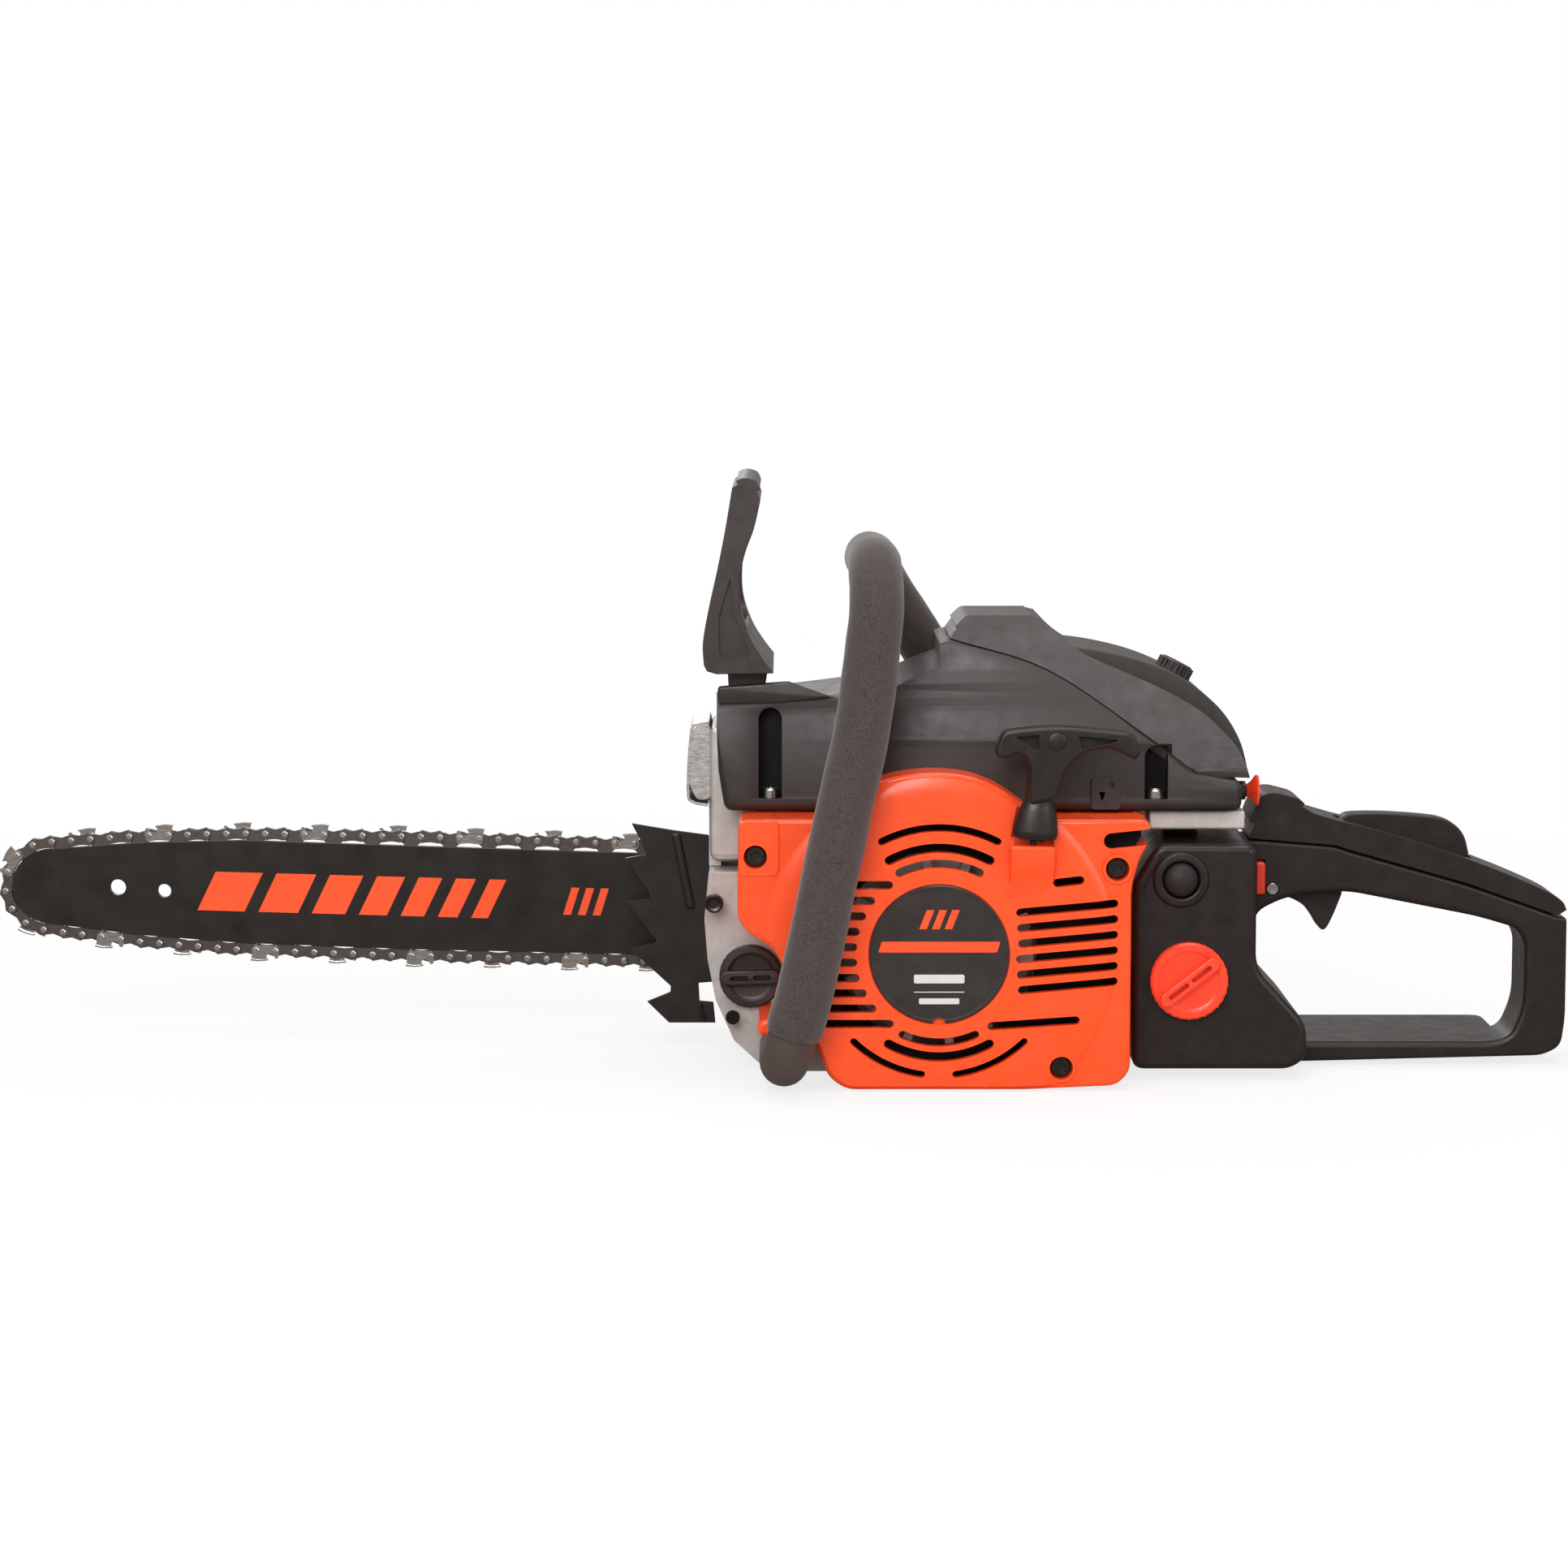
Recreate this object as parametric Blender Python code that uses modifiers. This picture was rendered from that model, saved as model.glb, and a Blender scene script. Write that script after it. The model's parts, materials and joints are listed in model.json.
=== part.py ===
"""Petrol chainsaw with a 14 inch guide bar, modelled as its separate parts.

The design frame has X along the saw (bar towards -X), Y across it (starter side towards -Y)
and Z up, with X = 0 on the crankshaft, Y = 0 between the crankcase halves and Z = 0 on the ground.
Sizes are in millimetres, and every shape is scaled to metres as its mesh is made.
"""
import math

import bmesh
import bpy
from mathutils import Matrix, Vector

MM = 0.001
FRAME_SHIFT = (80.8, 15.57, -1.4)

# Clearances
GAP = 0.3
WALL = 2.5

# Engine
CRANK_Z = 67.4
CRANK_RADIUS = 16.0
WEB_RADIUS = 25.0
WEB_INNER_Y = 5.5
WEB_OUTER_Y = 14.0
SHAFT_RADIUS = 6.0
ROD_LENGTH = 56.0
ROD_WIDTH = 10.0
CRANKPIN_RADIUS = 6.5
PISTON_RADIUS = 19.2
PISTON_CROWN = 14.0
PISTON_SKIRT = 13.0
CASE_BOTTOM = 1.8
DECK_Z = 100.0
CASE_FRONT_X = -112.5
CASE_REAR_X = 88.0
CASE_LEFT_Y = -36.0
CASE_RIGHT_Y = 39.7
CYLINDER_TOP = 164.0
FIN_RADIUS = 31.0
PORT_Z = 141.0
FLYWHEEL_RADIUS = 46.0
FLYWHEEL_BACK_Y = -48.0
FLYWHEEL_FRONT_Y = -69.5

# Starter side
COVER_FACE_Y = -84.0
BADGE_RADIUS = 33.2
PULLEY_RADIUS = 25.0
ROPE_RADIUS = 1.75
GRIP_X = 43.6
GRIP_Y = -90.0
GRIP_Z = 122.6
GRIP_TILT = 11.0

# Cutting gear
BAR_PLANE_Y = 55.0
BAR_THICKNESS = 4.0
BAR_TILT = 1.63
BAR_TIP = 466.5
NOSE_RADIUS = 19.0
NOSE_TEETH = 7
DRIVE_TEETH = 6
CHAIN_DEPTH = 6.5
CHAIN_WIDTH = 5.8
SPROCKET_RADIUS = 15.2
DRUM_RADIUS = 31.0
CLUTCH_COVER_Y = 87.0
STUD_RADIUS = 3.9
TENSION_TRAVEL = 6.0
STUD_FRONT_S = 94.0
STUD_REAR_S = 68.0
SPIKE_Y = 40.0
SPIKE_THICKNESS = 3.0

# Covers
COVER_LEFT_Y = -58.0
COVER_RIGHT_Y = 52.0
COVER_BASE_Z = 132.0
GUARD_PIVOT = (-92.0, 183.0)
GUARD_ARM_Y = 47.0

# Handles and tank
TUBE_RADIUS = 10.0
TUBE_END_RADIUS = 12.0
FOAM_LOW_RADIUS = 13.7
FOAM_HIGH_RADIUS = 12.4
HANDLE_MID_Y = 2.0
HANDLE_HALF = 19.0
TANK_LEFT_Y = -58.0
TANK_RIGHT_Y = 42.0
FUEL_CAP = (121.3, 50.6)
FUEL_CAP_RADIUS = 18.6
OIL_CAP = (-89.8, 49.4)
OIL_CAP_RADIUS = 15.3
TRIGGER_PIN = (166.2, 89.0)
LOCKOUT_PIVOT = (205.0, 112.0)

ROUND_STEPS = 16

COLOURS = {
    "orange_plastic": ((0.86, 0.16, 0.03, 1.0), 0.32, 0.0),
    "black_plastic": ((0.025, 0.026, 0.028, 1.0), 0.5, 0.0),
    "foam_rubber": ((0.03, 0.03, 0.032, 1.0), 0.85, 0.0),
    "cast_alloy": ((0.62, 0.63, 0.64, 1.0), 0.45, 1.0),
    "bright_steel": ((0.7, 0.7, 0.71, 1.0), 0.28, 1.0),
    "dark_steel": ((0.16, 0.15, 0.14, 1.0), 0.4, 1.0),
    "bar_paint": ((0.02, 0.02, 0.02, 1.0), 0.35, 0.0),
    "red_plastic": ((0.75, 0.06, 0.03, 1.0), 0.4, 0.0),
    "clear_bulb": ((0.1, 0.1, 0.09, 1.0), 0.25, 0.0),
    "rope": ((0.05, 0.05, 0.05, 1.0), 0.9, 0.0),
    "paper": ((0.8, 0.78, 0.7, 1.0), 0.9, 0.0),
    "grey_tube": ((0.3, 0.29, 0.28, 1.0), 0.45, 0.2),
}


def new_collection(name):
    """Add an empty collection to the scene."""
    collection = bpy.data.collections.new(name)
    bpy.context.scene.collection.children.link(collection)
    return collection


def make_materials():
    """One Principled material for each look, by name."""
    made = {}
    for name, (colour, roughness, metallic) in COLOURS.items():
        material = bpy.data.materials.new(name)
        material.use_nodes = True
        shader = material.node_tree.nodes["Principled BSDF"]
        shader.inputs["Base Color"].default_value = colour
        shader.inputs["Roughness"].default_value = roughness
        shader.inputs["Metallic"].default_value = metallic
        made[name] = material
    return made


def start_scene():
    """Clear the scene, then add the collections, the root empty and the materials."""
    for obj in list(bpy.data.objects):
        bpy.data.objects.remove(obj, do_unlink=True)
    parts = new_collection("chainsaw")
    cutters = new_collection("cutters")
    root = bpy.data.objects.new("chainsaw_root", None)
    parts.objects.link(root)
    root.location = Vector(FRAME_SHIFT) * MM
    return parts, cutters, root


PARTS, CUTTERS, ROOT = start_scene()
MATERIALS = make_materials()


def mesh_object(name, mesh):
    """An object at the design origin that holds the mesh."""
    obj = bpy.data.objects.new(name, mesh)
    PARTS.objects.link(obj)
    obj.parent = ROOT
    return obj


def finished(obj, material, pivot=(0.0, 0.0, 0.0)):
    """Give a part its material and put its origin on its own axis."""
    offset = Vector(pivot) * MM
    obj.data.transform(Matrix.Translation(-offset))
    obj.location = offset
    obj.data.materials.clear()
    obj.data.materials.append(MATERIALS[material])
    return obj


def from_bmesh(name, shape):
    """Scale a millimetre shape to metres and make it an object."""
    bmesh.ops.recalc_face_normals(shape, faces=shape.faces)
    bmesh.ops.scale(shape, vec=(MM, MM, MM), verts=shape.verts)
    mesh = bpy.data.meshes.new(name)
    shape.to_mesh(mesh)
    shape.free()
    return mesh_object(name, mesh)


def curve_shape(curve):
    """The welded bmesh of a curve, in millimetres, with the curve removed."""
    holder = bpy.data.objects.new("curve_holder", curve)
    bpy.context.scene.collection.objects.link(holder)
    bpy.context.view_layer.update()
    graph = bpy.context.evaluated_depsgraph_get()
    mesh = bpy.data.meshes.new_from_object(holder.evaluated_get(graph))
    bpy.data.objects.remove(holder, do_unlink=True)
    bpy.data.curves.remove(curve)
    shape = bmesh.new()
    shape.from_mesh(mesh)
    bpy.data.meshes.remove(mesh)
    bmesh.ops.remove_doubles(shape, verts=shape.verts, dist=0.001)
    return shape


def plate(name, outlines, low, high, axis="Y"):
    """A flat outline, with any holes, made thick along one axis.

    Outlines are (x, z) pairs for axis Y, (x, y) pairs for axis Z and (y, z) pairs for axis X.
    """
    curve = bpy.data.curves.new(name, "CURVE")
    curve.dimensions = "2D"
    curve.fill_mode = "BOTH"
    curve.extrude = (high - low) / 2
    for outline in outlines:
        spline = curve.splines.new("POLY")
        spline.points.add(len(outline) - 1)
        for point, (across, up) in zip(spline.points, outline):
            point.co = (across, up, 0.0, 1.0)
        spline.use_cyclic_u = True
    shape = curve_shape(curve)
    middle = (low + high) / 2
    if axis == "Y":
        turn = Matrix.Rotation(math.radians(90), 4, "X")
        shift = Matrix.Translation((0.0, middle, 0.0))
    elif axis == "X":
        turn = Matrix(((0, 0, 1, 0), (1, 0, 0, 0), (0, 1, 0, 0), (0, 0, 0, 1)))
        shift = Matrix.Translation((middle, 0.0, 0.0))
    else:
        turn = Matrix.Identity(4)
        shift = Matrix.Translation((0.0, 0.0, middle))
    bmesh.ops.transform(shape, matrix=shift @ turn, verts=shape.verts)
    bmesh.ops.dissolve_limit(
        shape, angle_limit=math.radians(0.5), verts=shape.verts, edges=shape.edges
    )
    return from_bmesh(name, shape)


def box(name, low, high):
    """A box between two corners."""
    shape = bmesh.new()
    bmesh.ops.create_cube(shape, size=1.0)
    size = [upper - lower for lower, upper in zip(low, high)]
    middle = [(upper + lower) / 2 for lower, upper in zip(low, high)]
    bmesh.ops.scale(shape, vec=size, verts=shape.verts)
    bmesh.ops.translate(shape, vec=middle, verts=shape.verts)
    return from_bmesh(name, shape)


def rod(name, start, end, radius, end_radius=None, steps=ROUND_STEPS):
    """A round bar or cone from one point to another."""
    start = Vector(start)
    end = Vector(end)
    run = end - start
    shape = bmesh.new()
    bmesh.ops.create_cone(
        shape,
        cap_ends=True,
        segments=steps,
        radius1=radius,
        radius2=radius if end_radius is None else end_radius,
        depth=run.length,
    )
    turn = Vector((0, 0, 1)).rotation_difference(run).to_matrix().to_4x4()
    place = Matrix.Translation((start + end) / 2) @ turn
    bmesh.ops.transform(shape, matrix=place, verts=shape.verts)
    return from_bmesh(name, shape)


def turned(name, profile, base, direction, steps=ROUND_STEPS):
    """A (radius, height) profile spun about the line through base along direction."""
    shape = bmesh.new()
    points = [shape.verts.new((radius, 0.0, height)) for radius, height in profile]
    edges = [shape.edges.new(pair) for pair in zip(points, points[1:])]
    if profile[0][0] > 0.0:
        edges.append(shape.edges.new((points[-1], points[0])))
    bmesh.ops.spin(
        shape,
        geom=points + edges,
        cent=(0, 0, 0),
        axis=(0, 0, 1),
        angle=math.tau,
        steps=steps,
        use_merge=True,
    )
    bmesh.ops.remove_doubles(shape, verts=shape.verts, dist=0.001)
    turn = Vector((0, 0, 1)).rotation_difference(Vector(direction)).to_matrix().to_4x4()
    bmesh.ops.transform(shape, matrix=Matrix.Translation(base) @ turn, verts=shape.verts)
    return from_bmesh(name, shape)


def tube(name, path, radius, radii=None, resolution=3):
    """A round tube along a path, with a radius factor for each point if radii is given."""
    curve = bpy.data.curves.new(name, "CURVE")
    curve.dimensions = "3D"
    curve.bevel_depth = radius
    curve.bevel_resolution = resolution
    curve.use_fill_caps = True
    spline = curve.splines.new("POLY")
    spline.points.add(len(path) - 1)
    for index, (point, place) in enumerate(zip(spline.points, path)):
        point.co = (*place, 1.0)
        point.radius = 1.0 if radii is None else radii[index]
    return from_bmesh(name, curve_shape(curve))


def smooth_path(points, steps):
    """Points on a smooth curve through the given ones."""
    places = [Vector(point) for point in points]
    padded = [2 * places[0] - places[1], *places, 2 * places[-1] - places[-2]]
    path = []
    for before, start, end, after in zip(padded, padded[1:], padded[2:], padded[3:]):
        for step in range(steps):
            t = step / steps
            path.append(
                0.5
                * (
                    2 * start
                    + (end - before) * t
                    + (2 * before - 5 * start + 4 * end - after) * t**2
                    + (3 * start - before - 3 * end + after) * t**3
                )
            )
    path.append(places[-1])
    return path


def circle(centre, radius, steps=ROUND_STEPS, start=0.0, sweep=360.0):
    """Points on a circle or an arc of one."""
    closed = abs(sweep) >= 360.0
    count = steps if closed else steps + 1
    points = []
    for index in range(count):
        angle = math.radians(start + sweep * index / steps)
        points.append(
            (centre[0] + radius * math.cos(angle), centre[1] + radius * math.sin(angle))
        )
    return points


def offset_path(points, distance):
    """An open path moved sideways to its left by a distance."""
    moved = []
    for index, point in enumerate(points):
        before = Vector(points[max(index - 1, 0)])
        after = Vector(points[min(index + 1, len(points) - 1)])
        along = (after - before).normalized()
        moved.append((point[0] - along.y * distance, point[1] + along.x * distance))
    return moved


def arc_slot(centre, radius, width, start, end, steps=6):
    """The outline of a curved slot on a circle."""
    outer = circle(centre, radius + width / 2, steps, start, end - start)
    inner = circle(centre, radius - width / 2, steps, start, end - start)
    return outer + inner[::-1]


def bar_slot(start, end, width):
    """The outline of a straight slot between two points."""
    along = (Vector(end) - Vector(start)).normalized() * width / 2
    side = Vector((-along.y, along.x))
    corners = [
        Vector(start) + side,
        Vector(start) - side,
        Vector(end) - side,
        Vector(end) + side,
    ]
    return [tuple(corner) for corner in corners]


def cut(obj, cutter):
    """Cut one shape from another and keep the cutter with the cutters."""
    return combine(obj, cutter, "DIFFERENCE")


def join(obj, other, solver="EXACT"):
    """Join another shape to this one."""
    return combine(obj, other, "UNION", solver)


def combine(obj, other, operation, solver="EXACT"):
    """Add a live Boolean with the other shape."""
    boolean = obj.modifiers.new(other.name, "BOOLEAN")
    boolean.operation = operation
    boolean.solver = solver
    boolean.object = other
    if other.name in PARTS.objects:
        PARTS.objects.unlink(other)
        CUTTERS.objects.link(other)
    other.hide_render = True
    other.display_type = "WIRE"
    return obj


def rounded(obj, width, segments=2, angle=40.0):
    """Round a part's sharp edges."""
    bevel = obj.modifiers.new("rounded", "BEVEL")
    bevel.width = width * MM
    bevel.segments = segments
    bevel.limit_method = "ANGLE"
    bevel.angle_limit = math.radians(angle)
    return obj


# ---------------------------------------------------------------- engine


def case_outline():
    """The crankcase seen from the side."""
    return [
        (-110.5, DECK_Z - 2),
        (CASE_FRONT_X, 77.0),
        (-111.0, 57.0),
        (-107.0, 37.0),
        (-98.0, 17.0),
        (-86.0, 6.0),
        (-68.0, CASE_BOTTOM),
        (CASE_REAR_X - 6, CASE_BOTTOM),
        (CASE_REAR_X, CASE_BOTTOM + 6),
        (CASE_REAR_X, DECK_Z - 4),
        (CASE_REAR_X - 4, DECK_Z),
        (-108.5, DECK_Z),
    ]


def crank_cavity(name):
    """The space for the crank webs and the bore above it."""
    cavity = rod(name, (0, -15.0, CRANK_Z), (0, 15.0, CRANK_Z), WEB_RADIUS + 2)
    bore = rod(name + "_bore", (0, 0, CRANK_Z), (0, 0, DECK_Z + 5), 20.5)
    return join(cavity, bore)


def make_crankcase():
    """The two cast halves, with their tank, shaft holes, studs and brackets."""
    left = plate("crankcase_left", [case_outline()], CASE_LEFT_Y, -GAP / 2)
    join(left, box("coil_bracket", (-24, CASE_LEFT_Y, DECK_Z - 4), (24, -32.5, 127)))
    join(
        left,
        rod("left_bearing", (0, CASE_LEFT_Y + 1, CRANK_Z), (0, -45.0, CRANK_Z), 13.0),
    )
    cut(left, crank_cavity("left_cavity"))
    cut(left, rod("left_shaft_hole", (0, -50, CRANK_Z), (0, 0, CRANK_Z), SHAFT_RADIUS + GAP))
    neck = rod(
        "oil_neck",
        (OIL_CAP[0], CASE_LEFT_Y - 6, OIL_CAP[1]),
        (OIL_CAP[0], -26, OIL_CAP[1]),
        8.0,
    )
    cut(left, neck)
    cut(left, box("oil_tank", (-103, -28, 30), (-62, 10, 90)))
    finished(left, "cast_alloy")

    right = plate("crankcase_right", [case_outline()], GAP / 2, CASE_RIGHT_Y)
    pad_centre = bar_point((STUD_FRONT_S + STUD_REAR_S) / 2, 0)
    pad = box(
        "bar_pad",
        (pad_centre[0] - 18.5, CASE_RIGHT_Y - 2, pad_centre[1] - 21),
        (pad_centre[0] + 24, BAR_PLANE_Y - BAR_THICKNESS / 2 - GAP, pad_centre[1] + 15),
    )
    join(right, pad)
    for name, distance in (("front_stud", STUD_FRONT_S), ("rear_stud", STUD_REAR_S)):
        x, z = bar_point(distance, 0)
        join(right, rod(name, (x, CASE_RIGHT_Y, z), (x, 84.5, z), STUD_RADIUS))
    handle_end, handle_run = far_end()
    lug_path = smooth_path([(51, 30, 92), (50, 38, 104), (47.5, 54, 116), handle_end + handle_run * 7], 3)
    join(right, tube("handle_lug", [*lug_path, handle_end + handle_run * GAP], 8.0))
    cut(right, crank_cavity("right_cavity"))
    cut(right, rod("right_shaft_hole", (0, 0, CRANK_Z), (0, 45, CRANK_Z), SHAFT_RADIUS + GAP))
    cut(right, tensioner_channel())
    finished(right, "cast_alloy")


def tensioner_channel():
    """The round channel that the chain tensioner screw lies in."""
    x, z = bar_point(TENSIONER_S, TENSIONER_DROP)
    return rod("tensioner_channel", (x - 40, TENSIONER_Y, z), (x + 14, TENSIONER_Y, z), 3.0, steps=12)


def make_cylinder():
    """The finned cylinder with its ports and its plug seat."""
    bore = PISTON_RADIUS + GAP
    profile = [(bore, DECK_Z + GAP), (28.0, DECK_Z + GAP), (28.0, DECK_Z + 5), (24.0, DECK_Z + 5)]
    for index in range(4):
        low = 114.0 + 12.0 * index
        profile += [(24.0, low), (FIN_RADIUS, low), (FIN_RADIUS, low + 2.2), (24.0, low + 2.2)]
    profile += [(24.0, CYLINDER_TOP), (9.0, CYLINDER_TOP), (9.0, 166.0), (0.0, 166.0)]
    profile += [(0.0, 158.0), (bore, 156.5), (bore, DECK_Z + GAP)]
    cylinder = turned("cylinder", profile, (0, 0, 0), (0, 0, 1), 20)
    join(cylinder, rod("inlet_boss", (21, 0, PORT_Z), (36, 0, PORT_Z), 13.0, steps=20))
    join(cylinder, rod("exhaust_boss", (-21, 0, PORT_Z - 6), (-44, 0, PORT_Z - 6), 13.0, steps=20))
    cut(cylinder, rod("inlet_port", (15, 0, PORT_Z), (40, 0, PORT_Z), 8.0, steps=16))
    cut(cylinder, rod("exhaust_port", (-15, 0, PORT_Z - 6), (-46, 0, PORT_Z - 6), 8.5, steps=16))
    start, end = plug_line(-2, 8)
    cut(cylinder, rod("plug_thread", start, end, 5.0, steps=16))
    start, end = plug_line(7.0, 30)
    cut(cylinder, rod("plug_seat", start, end, 8.6, steps=16))
    finished(cylinder, "cast_alloy")


def plug_line(start, end):
    """Two points on the spark plug's axis, measured from its seat."""
    seat = Vector((0.0, -3.0, 162.0))
    along = Vector((0.0, -math.sin(math.radians(42)), math.cos(math.radians(42))))
    return seat + along * start, seat + along * end


def make_piston_group():
    """Piston, connecting rod and crankpin at the bottom of the stroke."""
    pin_z = CRANK_Z - CRANK_RADIUS + ROD_LENGTH
    crank_z = CRANK_Z - CRANK_RADIUS
    piston = rod(
        "piston", (0, 0, pin_z - PISTON_SKIRT), (0, 0, pin_z + PISTON_CROWN), PISTON_RADIUS, steps=20
    )
    cut(piston, rod("piston_hollow", (0, 0, pin_z - 20), (0, 0, pin_z + 9), 16.0))
    join(piston, rod("piston_pin", (0, -17, pin_z), (0, 17, pin_z), 4.0, steps=16))
    finished(piston, "cast_alloy", (0, 0, pin_z))

    big = circle((0, crank_z), 10.5, 20)
    shank = box(
        "rod_shank",
        (-3.5, -ROD_WIDTH / 2 + 1, crank_z + 9),
        (3.5, ROD_WIDTH / 2 - 1, pin_z - 6),
    )
    conrod = plate(
        "connecting_rod",
        [big, circle((0, crank_z), CRANKPIN_RADIUS + GAP, 20)],
        -ROD_WIDTH / 2,
        ROD_WIDTH / 2,
    )
    small = plate(
        "rod_small_end",
        [circle((0, pin_z), 8.0, 16), circle((0, pin_z), 4.0 + GAP, 16)],
        -ROD_WIDTH / 2,
        ROD_WIDTH / 2,
    )
    join(conrod, shank)
    join(conrod, small)
    finished(conrod, "bright_steel", (0, 0, pin_z))
    crankpin = rod(
        "crankpin",
        (0, -WEB_INNER_Y + GAP, crank_z),
        (0, WEB_INNER_Y - GAP, crank_z),
        CRANKPIN_RADIUS,
        steps=16,
    )
    finished(crankpin, "bright_steel", (0, 0, pin_z))


def make_crankshaft():
    """The two crank webs with their shafts, the flywheel and the clutch hub."""
    left = rod("crankshaft_left", (0, -WEB_OUTER_Y, CRANK_Z), (0, -WEB_INNER_Y, CRANK_Z), WEB_RADIUS)
    join(left, rod("left_shaft", (0, -63, CRANK_Z), (0, -WEB_OUTER_Y + 1, CRANK_Z), SHAFT_RADIUS))
    finished(left, "bright_steel", (0, 0, CRANK_Z))

    right = rod("crankshaft_right", (0, WEB_INNER_Y, CRANK_Z), (0, WEB_OUTER_Y, CRANK_Z), WEB_RADIUS)
    join(right, rod("right_shaft", (0, WEB_OUTER_Y - 1, CRANK_Z), (0, 79, CRANK_Z), SHAFT_RADIUS))
    finished(right, "bright_steel", (0, 0, CRANK_Z))

    vanes = []
    count = 14
    for index in range(count):
        pitch = 360.0 / count
        start = pitch * index
        vanes += circle((0, CRANK_Z), 24.0, 1, start, pitch * 0.62)
        vanes += circle((0, CRANK_Z), FLYWHEEL_RADIUS, 1, start + pitch * 0.68, pitch * 0.2)
    flywheel = plate("flywheel", [vanes], FLYWHEEL_FRONT_Y, FLYWHEEL_BACK_Y - 6)
    rim = rod("flywheel_disc", (0, FLYWHEEL_BACK_Y - 7, CRANK_Z), (0, FLYWHEEL_BACK_Y, CRANK_Z), 46.0, steps=36)
    join(flywheel, rim)
    cut(flywheel, rod("flywheel_bore", (0, -72, CRANK_Z), (0, -40, CRANK_Z), SHAFT_RADIUS + GAP))
    finished(flywheel, "cast_alloy", (0, 0, CRANK_Z))

    hub = plate("clutch_hub", [clutch_outline()], 63.5, 76.0)
    cut(hub, rod("hub_bore", (0, 60, CRANK_Z), (0, 80, CRANK_Z), SHAFT_RADIUS + GAP))
    finished(hub, "dark_steel", (0, 0, CRANK_Z))


def clutch_outline():
    """Three shoes round the clutch's boss."""
    outline = []
    for index in range(3):
        start = 120.0 * index
        outline += circle((0, CRANK_Z), 27.0, 8, start + 6, 100)
        outline += circle((0, CRANK_Z), 20.0, 1, start + 108, 10)
    return outline


def make_drum():
    """The clutch drum with its sprocket and the worm that drives the oil pump."""
    profile = [
        (SHAFT_RADIUS + 0.8, 60.0),
        (DRUM_RADIUS, 60.0),
        (DRUM_RADIUS, 78.0),
        (28.6, 78.0),
        (28.6, 62.5),
        (SHAFT_RADIUS + 0.8, 62.5),
    ]
    drum = turned("clutch_drum", profile, (0, 0, CRANK_Z), (0, 1, 0), 24)
    teeth = []
    for index in range(DRIVE_TEETH):
        pitch = 360.0 / DRIVE_TEETH
        start = pitch * index
        teeth += circle((0, CRANK_Z), SPROCKET_RADIUS, 2, start, pitch * 0.56)
        teeth += circle((0, CRANK_Z), SPROCKET_RADIUS - 4.2, 1, start + pitch * 0.7, pitch * 0.16)
    sprocket = plate("sprocket", [teeth], 50.5, 61.0)
    cut(sprocket, rod("sprocket_bore", (0, 45, CRANK_Z), (0, 65, CRANK_Z), SHAFT_RADIUS + 0.8))
    join(drum, sprocket)
    finished(drum, "dark_steel", (0, 0, CRANK_Z))
    worm = turned(
        "oil_pump_worm",
        [(SHAFT_RADIUS + GAP, 41.0), (10.5, 41.0), (10.5, 50.2), (SHAFT_RADIUS + GAP, 50.2)],
        (0, 0, CRANK_Z),
        (0, 1, 0),
        20,
    )
    finished(worm, "bright_steel", (0, 0, CRANK_Z))


LEAD_END = (-13.0, -53.0, 128.0 + GAP)


def make_ignition():
    """Coil, spark plug and the plug's boot with its lead."""
    coil = box("ignition_coil", (-17, -62.0, CRANK_Z + FLYWHEEL_RADIUS + 0.5), (17, -47.0, 128))
    for x in (-13, 13):
        leg = rod(f"coil_leg_{x}", (x, -48, 121.0), (x, CASE_LEFT_Y - GAP, 121.0), 3.5, steps=12)
        join(coil, leg)
    finished(coil, "black_plastic")
    start, end = plug_line(-1.5, 0)
    seat = Vector(start)
    along = Vector(end) - seat
    profile = [(0, 0), (4.7, 0), (4.7, 9), (8.0, 9), (8.0, 15), (5.0, 15), (3.6, 28), (0, 28)]
    plug = turned("spark_plug", profile, seat, along, 16)
    finished(plug, "bright_steel")
    inner, outer = plug_line(15, 31)
    boot = rod("plug_boot", inner, outer, 7.6, 6.6, steps=16)
    hollow_start, hollow_end = plug_line(5, 27.2)
    cut(boot, rod("boot_hollow", hollow_start, hollow_end, 6.3, 4.6, steps=16))
    lead_start, _ = plug_line(29.4, 31)
    route = [lead_start, (-12, -31, 181), (-22, -41, 163), (-22, -50, 145), (-14, -52.5, 134), LEAD_END]
    lead = tube("plug_lead", smooth_path(route, 3), 2.4, resolution=2)
    join(boot, lead)
    finished(boot, "black_plastic")


def make_muffler():
    """Muffler box with its foot, and the heat shield over its outlet."""
    muffler = box("muffler", (-110.0, -28, DECK_Z + 4), (-44.3, 33, 171))
    rounded(muffler, 4.0)
    join(muffler, box("muffler_foot", (-110.5, -14, DECK_Z + GAP), (-104.5, 14, 136)))
    cut(muffler, rod("muffler_inlet", (-40, 0, PORT_Z - 6), (-58, 0, PORT_Z - 6), 8.5, steps=16))
    cut(muffler, box("muffler_hollow", (-106, -24, 108), (-52, 29, 167)))
    finished(muffler, "bright_steel")
    path = smooth_path(
        [(-110.3, 172.4, 0), (-116, 171.4, 0), (-119.5, 168, 0), (-121.3, 139, 0), (-119, 132.5, 0), (-110.9, 130.6, 0)],
        3,
    )
    outer = [(point.x, point.y) for point in path]
    shield = plate("muffler_shield", [outer + offset_path(outer, 1.4)[::-1]], -24, 29)
    finished(shield, "bright_steel")


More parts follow.
